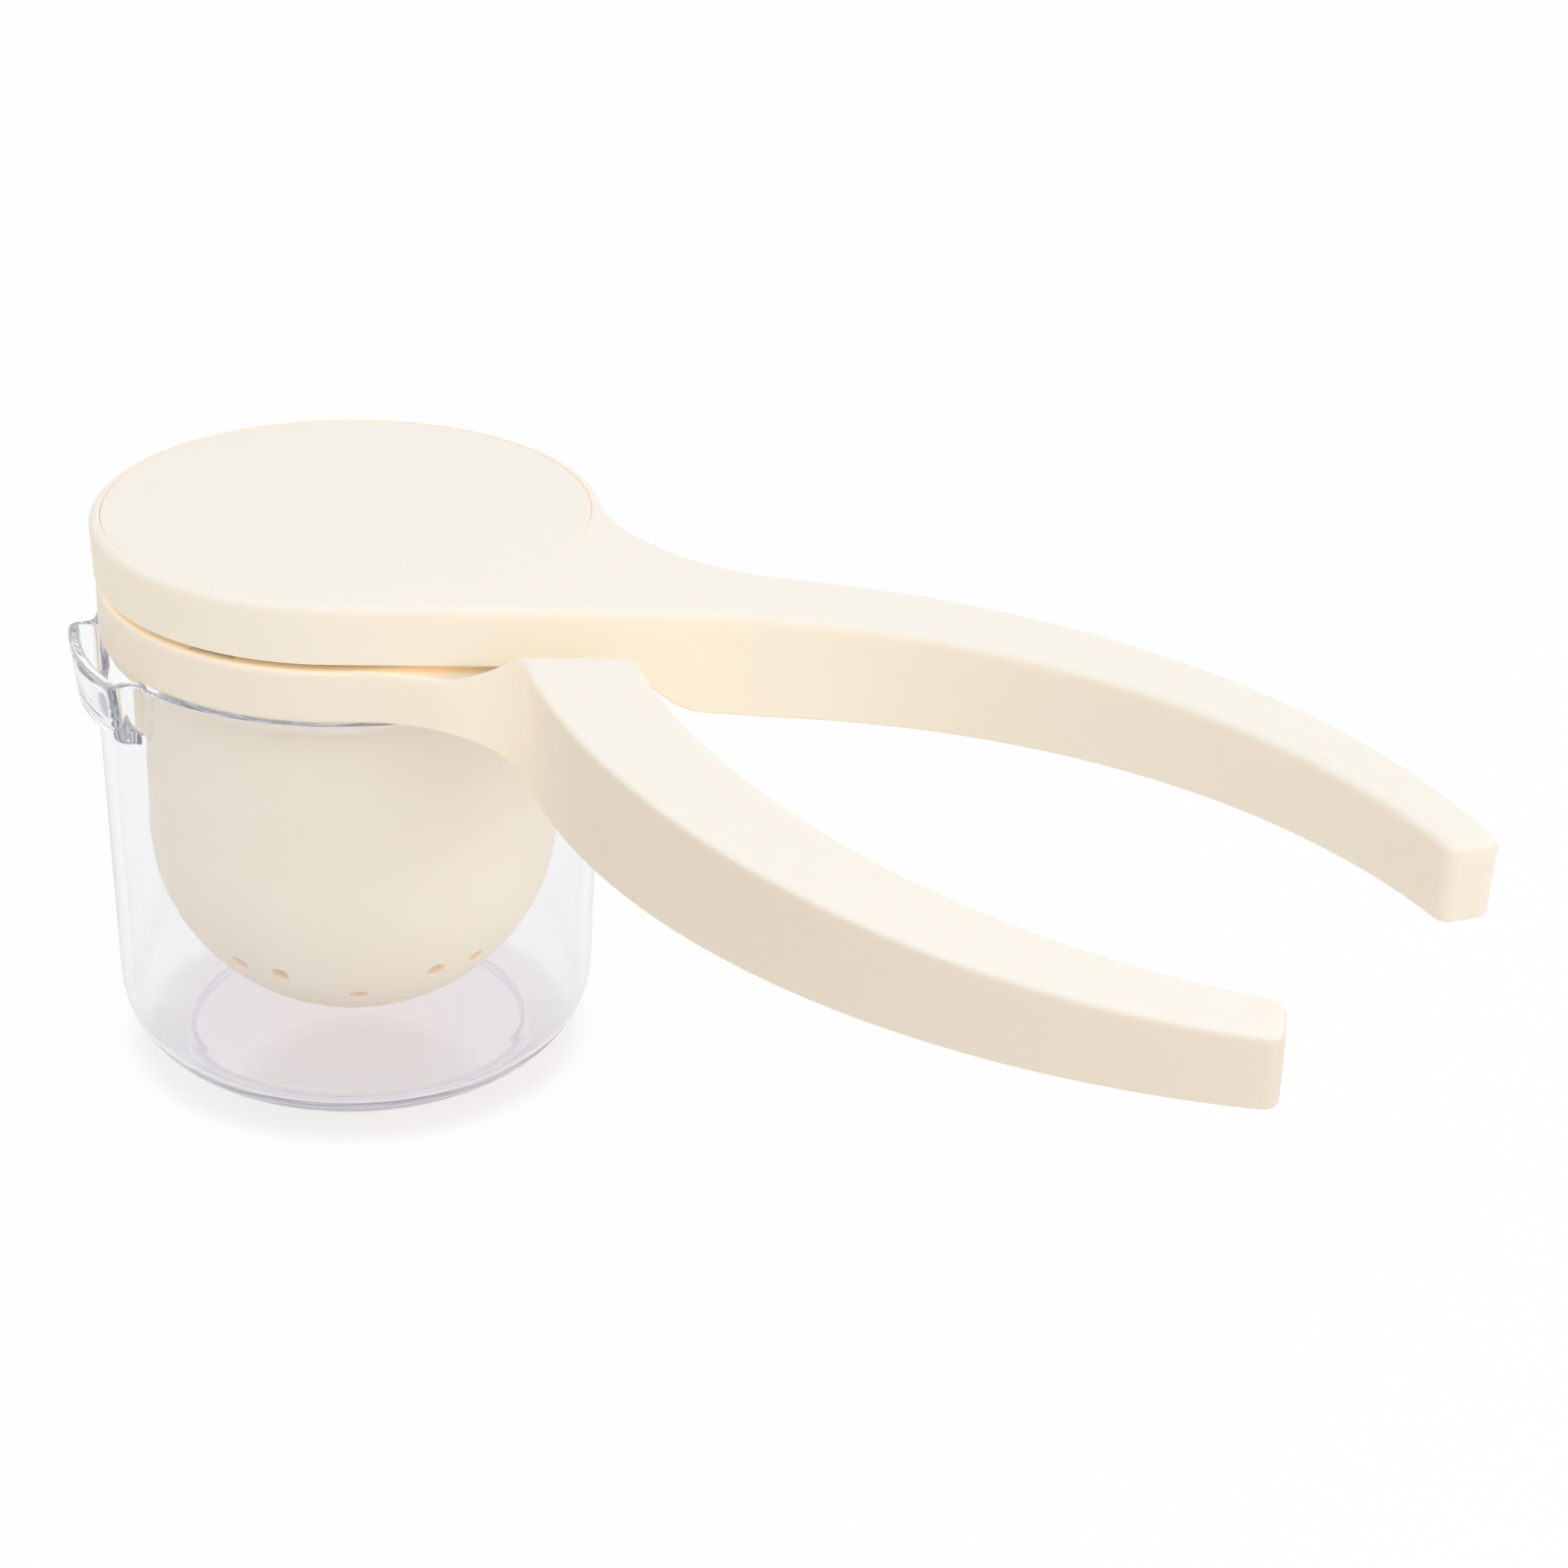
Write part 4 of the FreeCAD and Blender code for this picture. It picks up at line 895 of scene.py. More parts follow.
class ShaderGraph(Graph):
    """Node tree of one material or of the world."""

    def __init__(self, owner: Material | bpy.types.World) -> None:
        """Leave the owner's tree with only its output node.

        Args:
            owner: The material or the world.
        """
        self.owner = owner
        owner.use_nodes = True
        self.tree = owner.node_tree
        self.tree.nodes.clear()
        kind = "World" if isinstance(owner, bpy.types.World) else "Material"
        self.output = self.tree.nodes.new(f"ShaderNodeOutput{kind}")

    @classmethod
    def material(cls, name: str) -> "ShaderGraph":
        """Start a new material."""
        return cls(bpy.data.materials.new(name))

    def place(self) -> Socket:
        """Place on the object, in metres."""
        return self.node("ShaderNodeTexCoord").outputs["Object"]

    def axes(self) -> tuple[Value, Value, Value, Value]:
        """Place on the object in millimetres.

        Returns:
            One value for each axis, and the distance from the Z axis.
        """
        split = self.node("ShaderNodeSeparateXYZ", Vector=self.place())
        x, y, z = (self.value(split, n) / MM for n in range(3))
        return x, y, z, (x * x + y * y) ** 0.5

    def noise(self, scale: float, detail: float = 3.0, roughness: float = 0.55) -> Value:
        """Noise from 0 to 1, by bumps per metre, layers of finer noise and their strength."""
        sizes = {"Scale": scale, "Detail": detail, "Roughness": roughness}
        return self.value(self.node("ShaderNodeTexNoise", Vector=self.place(), **sizes))

    def mix(self, amount: object, first: object, second: object) -> Socket:
        """Mix of two colours, with the amount of the second one."""
        made = self.node("ShaderNodeMix", {"data_type": "RGBA"}, Factor=amount)
        return self.feed_all(made, first, second, first=6).outputs[2]

    def bump(self, height: Value, distance: float) -> Socket:
        """Normal from a height, with its distance in metres."""
        return self.node("ShaderNodeBump", Height=height, Distance=distance, Strength=1.0).outputs["Normal"]

    def rays(self, *kinds: str) -> Value:
        """Mask that is 1 for rays of any of the kinds, such as Camera."""
        path = self.node("ShaderNodeLightPath")
        return reduce(Value.larger, (self.value(path, f"Is {kind} Ray") for kind in kinds))

    def shader(self, kind: str, **sockets: object) -> Socket:
        """Shader node of a kind, by the end of its type's name."""
        return self.node(f"ShaderNode{kind}", **sockets).outputs[0]

    def either(self, amount: Value, first: Socket, second: Socket) -> Socket:
        """Mix of two shaders, with the amount of the second one."""
        return self.feed_all(self.node("ShaderNodeMixShader"), amount, first, second).outputs[0]

    def surface(self, shader: Socket) -> Material | bpy.types.World:
        """Use a shader for the surface and return the tree's owner."""
        self.feed(self.output.inputs["Surface"], shader)
        return self.owner


def linear(*parts: int) -> Place:
    """Colour for a shader from everyday red, green and blue values of 0 to 255."""
    shares = (part / 255 for part in parts)
    return tuple(share / 12.92 if share <= 0.04045 else ((share + 0.055) / 1.055) ** 2.4 for share in shares)


@dataclass(frozen=True)
class MouldedPlastic:
    """Satin moulded plastic, slightly see-through to warm light.

    Its grain, flow marks and tiny specks come from noise. Faces that look up
    are painted lighter, as painted light from above. A painted warm glow
    (emission) lies round a warm place, between the ring and the lid, in the
    disc's seam and in the drain holes, whose bores are also painted darker as
    painted shade. Its far end and the hub's edge can be painted a little darker,
    as painted shade.
    Places and distances are in millimetres.
    """

    name: str
    colour: Rgb
    shade: Rgb
    # Lighter colour for faces that look up: painted light from above.
    top: Rgb
    roughness: float = 0.46
    grain: float = 0.00002
    glow: float = 0.12
    # Painted warm glow: emission round a place, fading with distance, kept off the tops.
    warm_place: Place = (62.0, -32.0, 96.0)
    warm_reach: float = 70.0
    warm_light: Place = (0.0, 0.0, 0.0)
    # Painted glow (emission) in the ring-lid gap and the disc's seam.
    gap_light: Place = (0.0, 0.0, 0.0)
    gap_reach: float = 45.4
    # Painted shade towards the handle's far end and round the hub's edge, off the tops.
    far_shade: float = 0.0
    hub_shade: float = 0.0
    # Painted shade and glow in the drain holes: a darker, warmer colour and a little emission.
    bore_tint: float = 0.0
    upwards_from: Flat = (0.25, 0.95)
    far_from: Flat = (52.0, 90.0)
    hub_until: Flat = (46.0, 54.0)
    shaded_colour: Rgb = (150, 110, 80)
    gap_from: Flat = (92.2, 92.6)
    gap_until: Flat = (94.0, 94.7)
    gap_edge: float = 44.9
    seam_from: Flat = (102.6, 103.0)
    seam_inner: Flat = (42.6, 42.9)
    seam_outer: Flat = (43.2, 43.5)
    seam_share: float = 0.7
    bowl_height: float = 46.7
    bore_from: Flat = (35.5, 35.7)
    bore_until: Flat = (36.85, 37.1)
    bore_below: Flat = (-10.0, -8.0)
    bore_colour: Rgb = (250, 227, 199)
    bore_light: Place = (0.13, 0.108, 0.075)
    speck_share: float = 0.35
    speck_dark: float = 0.72
    scatter_colour: Place = (1.0, 0.55, 0.22)
    scatter_reach: float = 0.005

    def make(self) -> Material:
        """Build the material.

        Returns:
            The material.
        """
        graph = ShaderGraph.material(self.name)
        flow = graph.noise(18.0, 2.0).between(0.35, 0.7)
        mottle = graph.noise(160.0, 4.0).between(0.3, 0.75)
        fine = graph.noise(5200.0, 2.0)
        specks = graph.noise(900.0, 1.0).between(0.80, 0.83)
        facing = graph.node("ShaderNodeTexCoord").outputs["Normal"]
        rise = graph.value(graph.node("ShaderNodeSeparateXYZ", Vector=facing), 2)
        upwards = rise.between(*self.upwards_from)
        x, y, z, across = graph.axes()
        # Painted shade: darker towards the handle's far end and round the hub's edge.
        hub = across.until(*self.hub_until) * self.hub_shade
        shaded = across.between(*self.far_from) * self.far_shade + hub
        below = z - self.bowl_height
        bowl = (across * across + below * below) ** 0.5
        bore = bowl.between(*self.bore_from) * below.until(*self.bore_below)
        bore = bore * bowl.until(*self.bore_until) * self.bore_tint
        tint = graph.mix(flow * 0.55 + mottle * 0.25, linear(*self.colour), linear(*self.shade))
        # Painted light: faces that look up take the lighter top colour.
        tint = graph.mix(upwards * (1.0 - mottle * 0.15), tint, linear(*self.top))
        tint = graph.mix(shaded * (1.0 - upwards), tint, linear(*self.shaded_colour))
        # Painted shade in the drain holes.
        tint = graph.mix(bore, tint, linear(*self.bore_colour))
        speck_colour = tuple(part * self.speck_dark for part in linear(*self.shade))
        tint = graph.mix(specks * self.speck_share, tint, speck_colour)
        # Painted warm glow round a place, kept off the tops.
        warm_x, warm_y, warm_z = (axis - middle for axis, middle in zip((x, y, z), self.warm_place))
        apart = (warm_x * warm_x + warm_y * warm_y + warm_z * warm_z) ** 0.5
        near = apart.until(0.0, self.warm_reach) * (1.0 - upwards)
        # Painted glow in the gap between the ring and the lid, and in the disc's seam.
        gap = z.between(*self.gap_from) * z.until(*self.gap_until)
        gap = gap * across.until(self.gap_edge, self.gap_reach)
        seam = z.between(*self.seam_from) * across.between(*self.seam_inner) * across.until(*self.seam_outer)
        light = graph.mix(near, (0.0, 0.0, 0.0), self.warm_light)
        painted_glow_mask = gap.larger(seam * (1.0 - upwards) * self.seam_share)
        light = graph.mix(painted_glow_mask, light, self.gap_light)
        # Painted glow in the drain holes.
        light = graph.mix(bore, light, self.bore_light)
        shader = graph.shader(
            "BsdfPrincipled",
            Base_Color=tint,
            Roughness=self.roughness + (mottle - 0.5) * 0.06 + (flow - 0.5) * 0.05,
            Normal=graph.bump(fine * 0.8 + mottle * 0.6, self.grain),
            Emission_Color=light,
            Emission_Strength=1.0,
            Subsurface_Weight=self.glow,
            Subsurface_Radius=self.scatter_colour,
            Subsurface_Scale=self.scatter_reach,
            IOR=1.47,
        )
        return graph.surface(shader)


@dataclass(frozen=True)
class ClearPlastic:
    """Clear polished plastic with faint wipe marks and moulding waves.

    Rays that have bounced more than a set number of times end in a painted
    blue-grey glow (emission), which stands in for light caught between its faces.
    """

    name: str
    ior: float = 1.5
    # Bounces after which a ray ends in the painted blue-grey glow.
    caught_after: int = 8
    # The plastic is painted a little darker and more lavender towards the bottom, as painted shade.
    body_high: Rgb = (251, 251, 252)
    body_low: Rgb = (248, 247, 249)
    low_until: Flat = (8.0, 60.0)
    # Painted shade: a thin blue-grey line at the edge of the floor's dish.
    brim_colour: Rgb = (220, 220, 229)
    brim_from: Flat = (30.1, 30.4)
    brim_until: Flat = (30.8, 31.1)
    brim_below: Flat = (4.0, 5.0)
    passed_colour: Rgb = (252, 251, 253)
    caught_dark: Rgb = (128, 129, 134)
    caught_pale: Rgb = (206, 207, 216)

    def make(self) -> Material:
        """Build the material.

        Returns:
            The material.
        """
        graph = ShaderGraph.material(self.name)
        smears = graph.noise(45.0, 5.0, 0.65).between(0.45, 0.8)
        wave = graph.noise(28.0, 1.0)
        hair = graph.noise(1400.0, 2.0).between(0.66, 0.72)
        _, _, z, across = graph.axes()
        low = z.until(*self.low_until)
        # Painted shade line at the edge of the floor's dish.
        dish_edge_shade = across.between(*self.brim_from) * across.until(*self.brim_until) * z.until(*self.brim_below)
        # Darker towards the bottom as painted shade, and in the wipe marks.
        body = graph.mix(low * 0.8 + smears * 0.2, linear(*self.body_high), linear(*self.body_low))
        polished = graph.shader(
            "BsdfPrincipled",
            Base_Color=graph.mix(dish_edge_shade, body, linear(*self.brim_colour)),
            Roughness=0.012 + smears * 0.03 + hair * 0.05,
            Normal=graph.bump(wave + smears * 0.1, 0.00002),
            Transmission_Weight=1.0,
            IOR=self.ior,
        )
        through = graph.shader("BsdfTransparent", Color=linear(*self.passed_colour))
        plain = graph.either(graph.rays("Shadow", "Diffuse"), polished, through)
        # Painted glow: deep rays end in mottled blue-grey emission instead of real light.
        dark = graph.shader("Emission", Color=linear(*self.caught_dark), Strength=1.0)
        pale = graph.shader("Emission", Color=linear(*self.caught_pale), Strength=1.0)
        painted_deep_glow = graph.either(graph.noise(160.0, 3.0).between(0.35, 0.65), dark, pale)
        depth = graph.value(graph.node("ShaderNodeLightPath"), "Ray Depth")
        return graph.surface(graph.either(depth.math("GREATER_THAN", self.caught_after), plain, painted_deep_glow))


@dataclass(frozen=True)
class Silicone:
    """Soft matt silicone with a dusty bloom."""

    name: str
    worn: Rgb = (226, 218, 200)
    dusty: Rgb = (238, 232, 220)

    def make(self) -> Material:
        """Build the material.

        Returns:
            The material.
        """
        graph = ShaderGraph.material(self.name)
        dust = graph.noise(300.0, 5.0).between(0.35, 0.75)
        shader = graph.shader(
            "BsdfPrincipled",
            Base_Color=graph.mix(dust, linear(*self.worn), linear(*self.dusty)),
            Roughness=0.62 + dust * 0.15,
            Normal=graph.bump(graph.noise(3000.0), 0.00002),
            Subsurface_Weight=0.2,
            Subsurface_Radius=(1.0, 0.7, 0.5),
            Subsurface_Scale=0.002,
        )
        return graph.surface(shader)


@dataclass(frozen=True)
class WaxyPlastic:
    """Low-friction washer plastic with turned rings and rubbed patches."""

    name: str
    plain: Rgb = (238, 237, 231)
    rubbed: Rgb = (226, 225, 219)

    def make(self) -> Material:
        """Build the material.

        Returns:
            The material.
        """
        graph = ShaderGraph.material(self.name)
        rings = (graph.axes()[3] * 40.0).math("SINE")
        rubbed = graph.noise(250.0, 4.0).between(0.4, 0.7)
        shader = graph.shader(
            "BsdfPrincipled",
            Base_Color=graph.mix(rubbed, linear(*self.plain), linear(*self.rubbed)),
            Roughness=0.38 + rubbed * 0.2,
            Normal=graph.bump(rings, 0.00001),
        )
        return graph.surface(shader)


@dataclass(frozen=True)
class StainlessSteel:
    """Plain stainless steel with fine turning marks."""

    name: str
    bright: Rgb = (196, 197, 199)
    stained: Rgb = (176, 176, 177)

    def make(self) -> Material:
        """Build the material.

        Returns:
            The material.
        """
        graph = ShaderGraph.material(self.name)
        scratch = graph.noise(2600.0, 4.0, 0.7)
        stain = graph.noise(220.0, 4.0).between(0.4, 0.75)
        shader = graph.shader(
            "BsdfPrincipled",
            Base_Color=graph.mix(stain, linear(*self.bright), linear(*self.stained)),
            Metallic=1.0,
            Roughness=0.26 + scratch * 0.16,
            Normal=graph.bump(scratch, 0.00001),
        )
        return graph.surface(shader)


# Painted warm glow for the gaps between the ring, the lid and the disc.
PAINTED_GAP_GLOW = (0.20, 0.12, 0.04)
RING_CREAM = MouldedPlastic(
    "cream_plastic",
    (248, 237, 220),
    (246, 233, 214),
    (252, 245, 235),
    warm_place=(38.0, -58.0, 92.0),
    warm_reach=46.0,
    warm_light=(0.13, 0.105, 0.07),
    gap_light=PAINTED_GAP_GLOW,
    gap_reach=52.0,
    far_shade=0.16,
    hub_shade=0.06,
)
LID_CREAM = MouldedPlastic(
    "cream_lid_plastic",
    RING_CREAM.colour,
    RING_CREAM.shade,
    RING_CREAM.top,
    warm_reach=80.0,
    warm_light=(0.10, 0.088, 0.056),
    gap_light=PAINTED_GAP_GLOW,
    far_shade=0.02,
)
DISC_CREAM = MouldedPlastic(
    "cream_disc",
    (248, 241, 228),
    (245, 237, 223),
    (250, 244, 233),
    roughness=0.5,
    glow=0.05,
    gap_light=PAINTED_GAP_GLOW,
)
INNER_CREAM = MouldedPlastic(
    "cream_inner_plastic",
    (252, 243, 222),
    (249, 238, 214),
    (252, 244, 226),
    glow=0.03,
    warm_place=(30.0, -26.0, 34.0),
    warm_reach=52.0,
    warm_light=(0.095, 0.09, 0.064),
    bore_tint=1.0,
)


class Finishes:
    """All the finishes of the juicer, made once."""

    def __init__(self) -> None:
        """Build every material."""
        self.cream = RING_CREAM.make()
        self.lid_cream = LID_CREAM.make()
        self.disc = DISC_CREAM.make()
        self.inner_cream = INNER_CREAM.make()
        self.clear = ClearPlastic("clear_plastic").make()
        self.silicone = Silicone("seal_silicone").make()
        self.waxy = WaxyPlastic("washer_plastic").make()
        self.steel = StainlessSteel("screw_steel").make()


def dress(piece: Piece, finish: Material) -> None:
    """Give a piece one material all over.

    Args:
        piece: The piece.
        finish: The material.
    """
    slots = piece.data.materials
    if not slots:
        slots.append(finish)
    for number in range(len(slots)):
        slots[number] = finish


def hand_over(
    piece: Piece,
    body: str,
    nodes: Sequence[str],
    degrees: float = 35.0,
    finish: Material | None = None,
) -> None:
    """Finish a piece's edges and look, tie it to the frame and report it.

    Args:
        piece: The finished piece.
        body: The body it moves with.
        nodes: The frame's nodes that it stands for.
        degrees: Angle between two faces past which their edge is sharp.
        finish: Its material, unless its node tree has set it.
    """
    piece.data.set_sharp_from_angle(angle=math.radians(degrees))
    if finish:
        dress(piece, finish)
    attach(piece, body)
    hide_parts(*nodes)
    LOG.info("%s rides on %s with %d faces", piece.name, body, len(piece.data.polygons))


# Pieces


@dataclass(frozen=True)
class Upright:
    """One upright line of the cup's mesh.

    It holds its turn about the axis, its share of the lip's reach, and how far
    its points keep to the lip's heights rather than the plain wall's.
    """

    turn: float
    lip: float
    keeps: float


@dataclass
class Cup:
    """Clear cup with a round foot and a shelf-like pouring lip."""

    finishes: Finishes
    height: float = 83.3
    rim_radius: float = 45.5
    base_radius: float = 43.15
    wall: float = 2.1
    floor: float = 3.45
    outer_corner: float = 15.8
    inner_corner: float = 10.2
    dish_radius: float = 30.6
    dish_depth: float = 0.35
    dish_round: float = 0.12
    rim_round: float = 0.7
    lip_top_radius: float = 49.7
    lip_low_radius: float = 48.4
    lip_wall: float = 2.0
    lip_floor: float = 1.8
    lip_depth: float = 11.3
    lip_middle: float = math.radians(200.4)
    lip_half: float = math.radians(20.4)
    lip_fade: float = math.radians(7.0)
    lip_round: float = 1.2
    shelf_round: float = 1.0
    shelf_edge_round: float = 0.7
    bend_round: float = 2.25
    bend_steps: int = 9
    lip_steps: int = 10
    fade_steps: int = 6
    wall_steps: int = 56
    round_steps: int = 6

    def _wall_radius(self, height: float) -> float:
        """Outer radius of the plain wall at a height."""
        return self.base_radius + (self.rim_radius - self.base_radius) * height / self.height

    def _lip_radius(self, height: float) -> float:
        """Outer radius of the lip at a height."""
        share = (height - (self.height - self.lip_depth)) / self.lip_depth
        return self.lip_low_radius + (self.lip_top_radius - self.lip_low_radius) * share

    @cached_property
    def _uprights(self) -> list[Upright]:
        """Upright lines right round the cup, closer where the lip's ends bend.

        Returns:
            The lines, anticlockwise from above.
        """
        step = self.lip_top_radius - self.rim_radius
        lean = math.acos(1 - step / (2 * self.bend_round))
        run = 2 * self.bend_round * math.sin(lean)
        middle_radius = (self.lip_top_radius + self.rim_radius) / 2
        half_run = run / 2 / middle_radius
        bend: list[Flat] = []
        for number in range(self.bend_steps + 1):
            angle = lean * number / self.bend_steps
            along = self.bend_round * math.sin(angle) / middle_radius
            bend.append((along, self.bend_round * (1 - math.cos(angle)) / step))
        bend += [(2 * half_run - along, 1 - share) for along, share in reversed(bend[:-1])]
        start = self.lip_half + half_run * 0.3
        count = self.lip_steps
        half = [Upright(n / count * (start - 2 * half_run), 1.0, 1.0) for n in range(count)]
        half += [Upright(start - along, share, 1.0) for along, share in reversed(bend)]
        fade, count = self.lip_fade, self.fade_steps
        half += [Upright(start + fade * n / count, 0.0, 1 - n / count) for n in range(1, count)]
        rest = math.pi - start - fade
        count = self.wall_steps
        half += [Upright(start + fade + rest * n / count, 0.0, 0.0) for n in range(count + 1)]
        mirrored = [Upright(-entry.turn, entry.lip, entry.keeps) for entry in half[-2:0:-1]]
        return [Upright(self.lip_middle + entry.turn, entry.lip, entry.keeps) for entry in mirrored + half]

    def _row(self, wall_height: float, lip_height: float, reach: float) -> list[Place]:
        """Points of the outside at one level.

        Args:
            wall_height: Level on the plain wall.
            lip_height: Level on the lip.
            reach: Share of the lip's reach at this level.

        Returns:
            One place on each upright line.
        """
        places: list[Place] = []
        for entry in self._uprights:
            height = wall_height + (lip_height - wall_height) * entry.keeps
            radius = self._wall_radius(height)
            radius += entry.lip * reach * (self._lip_radius(height) - radius)
            places.append((radius * math.cos(entry.turn), radius * math.sin(entry.turn), height))
        return places

    @cached_property
    def _inwards(self) -> list[Vector]:
        """Level directions into the wall.

        Returns:
            One direction for each upright line.
        """
        rim = [Vector(place[:2]) for place in self._row(self.height, self.height, 1.0)]
        ways = [(rim[(number + 1) % len(rim)] - rim[number - 1]).normalized() for number in range(len(rim))]
        return [Vector((-along.y, along.x)) for along in ways]

    def _outside(self) -> list[list[Place]]:
        """Loops of the outside, from the foot's middle to the top of the rim.

        Returns:
            The loops in order.
        """
        turns = [entry.turn for entry in self._uprights]
        foot_edge = (self.base_radius, 0.0, self.outer_corner)
        foot = rounded([(0.0, 0.0, 0.0), foot_edge, (self._wall_radius(60.0), 60.0, 0.0)], 14)
        flat_edge = foot[1][0]
        loops = [ring_loop(radius, 0.0, turns) for radius in (flat_edge * 0.35, flat_edge * 0.75)]
        loops += [ring_loop(radius, height, turns) for radius, height in foot[1:-1]]
        low = self.height - self.lip_depth
        edge = 1 - self.lip_round / (self.lip_low_radius - self._wall_radius(low))
        # Each level has its height on the plain wall and on the lip, and its share of the lip's reach
        levels = [(self.outer_corner + 7.4 * n, self.outer_corner + 7.4 * n, 0.0) for n in range(1, 8)]
        levels += [(68.6, low - 0.5, 0.0), (69.0, low - 0.15, 0.012), (69.6, low, 0.08)]
        levels += [(69.6 + 0.8 * n, low, 0.08 + (edge - 0.08) * n / 3) for n in range(1, 4)]
        for number, (cos, sin) in enumerate(quarter(self.round_steps, 1), start=1):
            height = low + self.lip_round * (1 - cos)
            levels.append((72.0 + 0.3 * number, height, edge + (1 - edge) * sin))
        levels += [(height, height, 1.0) for height in (75.5, 78.0, 80.5)]
        loops += [self._row(*heights) for heights in levels]
        for cos, sin in quarter(self.round_steps):
            height = self.height - self.rim_round * (1 - sin)
            depth = self.rim_round * (1 - cos)
            pairs = zip(self._row(height, height, 1.0), self._inwards)
            loops.append([(x + way.x * depth, y + way.y * depth, z) for (x, y, z), way in pairs])
        return loops

    def _inner_levels(self) -> list[tuple[float, float, float, float]]:
        """Levels of the inside from the rim down to the plain wall.

        Returns:
            For each level its height on the plain wall and on the lip, its
            share of the lip's reach and its share of the wall's thickness.
        """
        levels: list[tuple[float, float, float, float]] = []
        for cos, sin in quarter(self.round_steps):
            height = self.height - self.rim_round * (1 - cos)
            levels.append((height, height, 1.0, 1 - self.rim_round * (1 - sin) / self.wall))
        levels += [(height, height, 1.0, 1.0) for height in (80.5, 78.0, 76.2)]
        shelf = self.height - self.lip_depth + self.lip_floor
        corner, edge = self.shelf_round, self.shelf_edge_round
        reach = self._lip_radius(shelf) - self.lip_wall - self._wall_radius(shelf) + self.wall
        for number, (cos, sin) in enumerate(quarter(5)):
            share = 1 - corner * (1 - cos) / reach
            levels.append((75.4 - 0.3 * number, shelf + corner * (1 - sin), share, 1.0))
        for number in range(1, 4):
            share = (1 - corner / reach) + (edge / reach - 1 + corner / reach) * number / 3
            levels.append((73.6 - 0.5 * number, shelf, share, 1.0))
        for number, (cos, sin) in enumerate(quarter(4, 1), start=1):
            levels.append((71.8 - 0.3 * number, shelf - edge * (1 - cos), edge * (1 - sin) / reach, 1.0))
        return levels + [(69.0 - 8.5 * n, 69.0 - 8.5 * n, 0.0, 1.0) for n in range(7)]

    def _inside(self) -> list[list[Place]]:
        """Loops of the inside, from the top of the rim to the dish in the floor.

        Returns:
            The loops in order.
        """
        loops: list[list[Place]] = []
        for wall_height, lip_height, reach, depth_share in self._inner_levels():
            places: list[Place] = []
            row = self._row(wall_height, lip_height, 1.0)
            for entry, (x, y, z), way in zip(self._uprights, row, self._inwards):
                thick = self.wall + (self.lip_wall - self.wall) * entry.lip
                plain = self._wall_radius(z) - self.wall
                wall_x, wall_y = plain * math.cos(entry.turn), plain * math.sin(entry.turn)
                lip_x, lip_y = x + way.x * thick * depth_share, y + way.y * thick * depth_share
                places.append((wall_x + (lip_x - wall_x) * reach, wall_y + (lip_y - wall_y) * reach, z))
            loops.append(places)
        dish = self.floor - self.dish_depth
        corners = [(self._wall_radius(40.0) - self.wall, 40.0, 0.0)]
        corners += [(self._wall_radius(self.floor) - self.wall, self.floor, self.inner_corner)]
        corners += [(self.dish_radius, self.floor, self.dish_round)]
        corners += [(self.dish_radius - 0.35, dish, self.dish_round), (0.0, dish, 0.0)]
        turns = [entry.turn for entry in self._uprights]
        rest = rounded(corners, 10)[1:-1] + [(20.0, dish), (9.0, dish)]
        return loops + [ring_loop(radius, height, turns) for radius, height in rest]

    def build(self) -> None:
        """Build and dress the cup."""
        builder = Builder()
        rows = [builder.add_loop(loop) for loop in self._outside() + self._inside()]
        builder.join_rows(rows)
        builder.fan(rows[0][::-1], (0.0, 0.0, 0.0))
        builder.fan(rows[-1], (0.0, 0.0, self.floor - self.dish_depth))
        piece = builder.finish("cup_shell")
        hand_over(piece, "cup", ["juice_cup"], 50.0, self.finishes.clear)


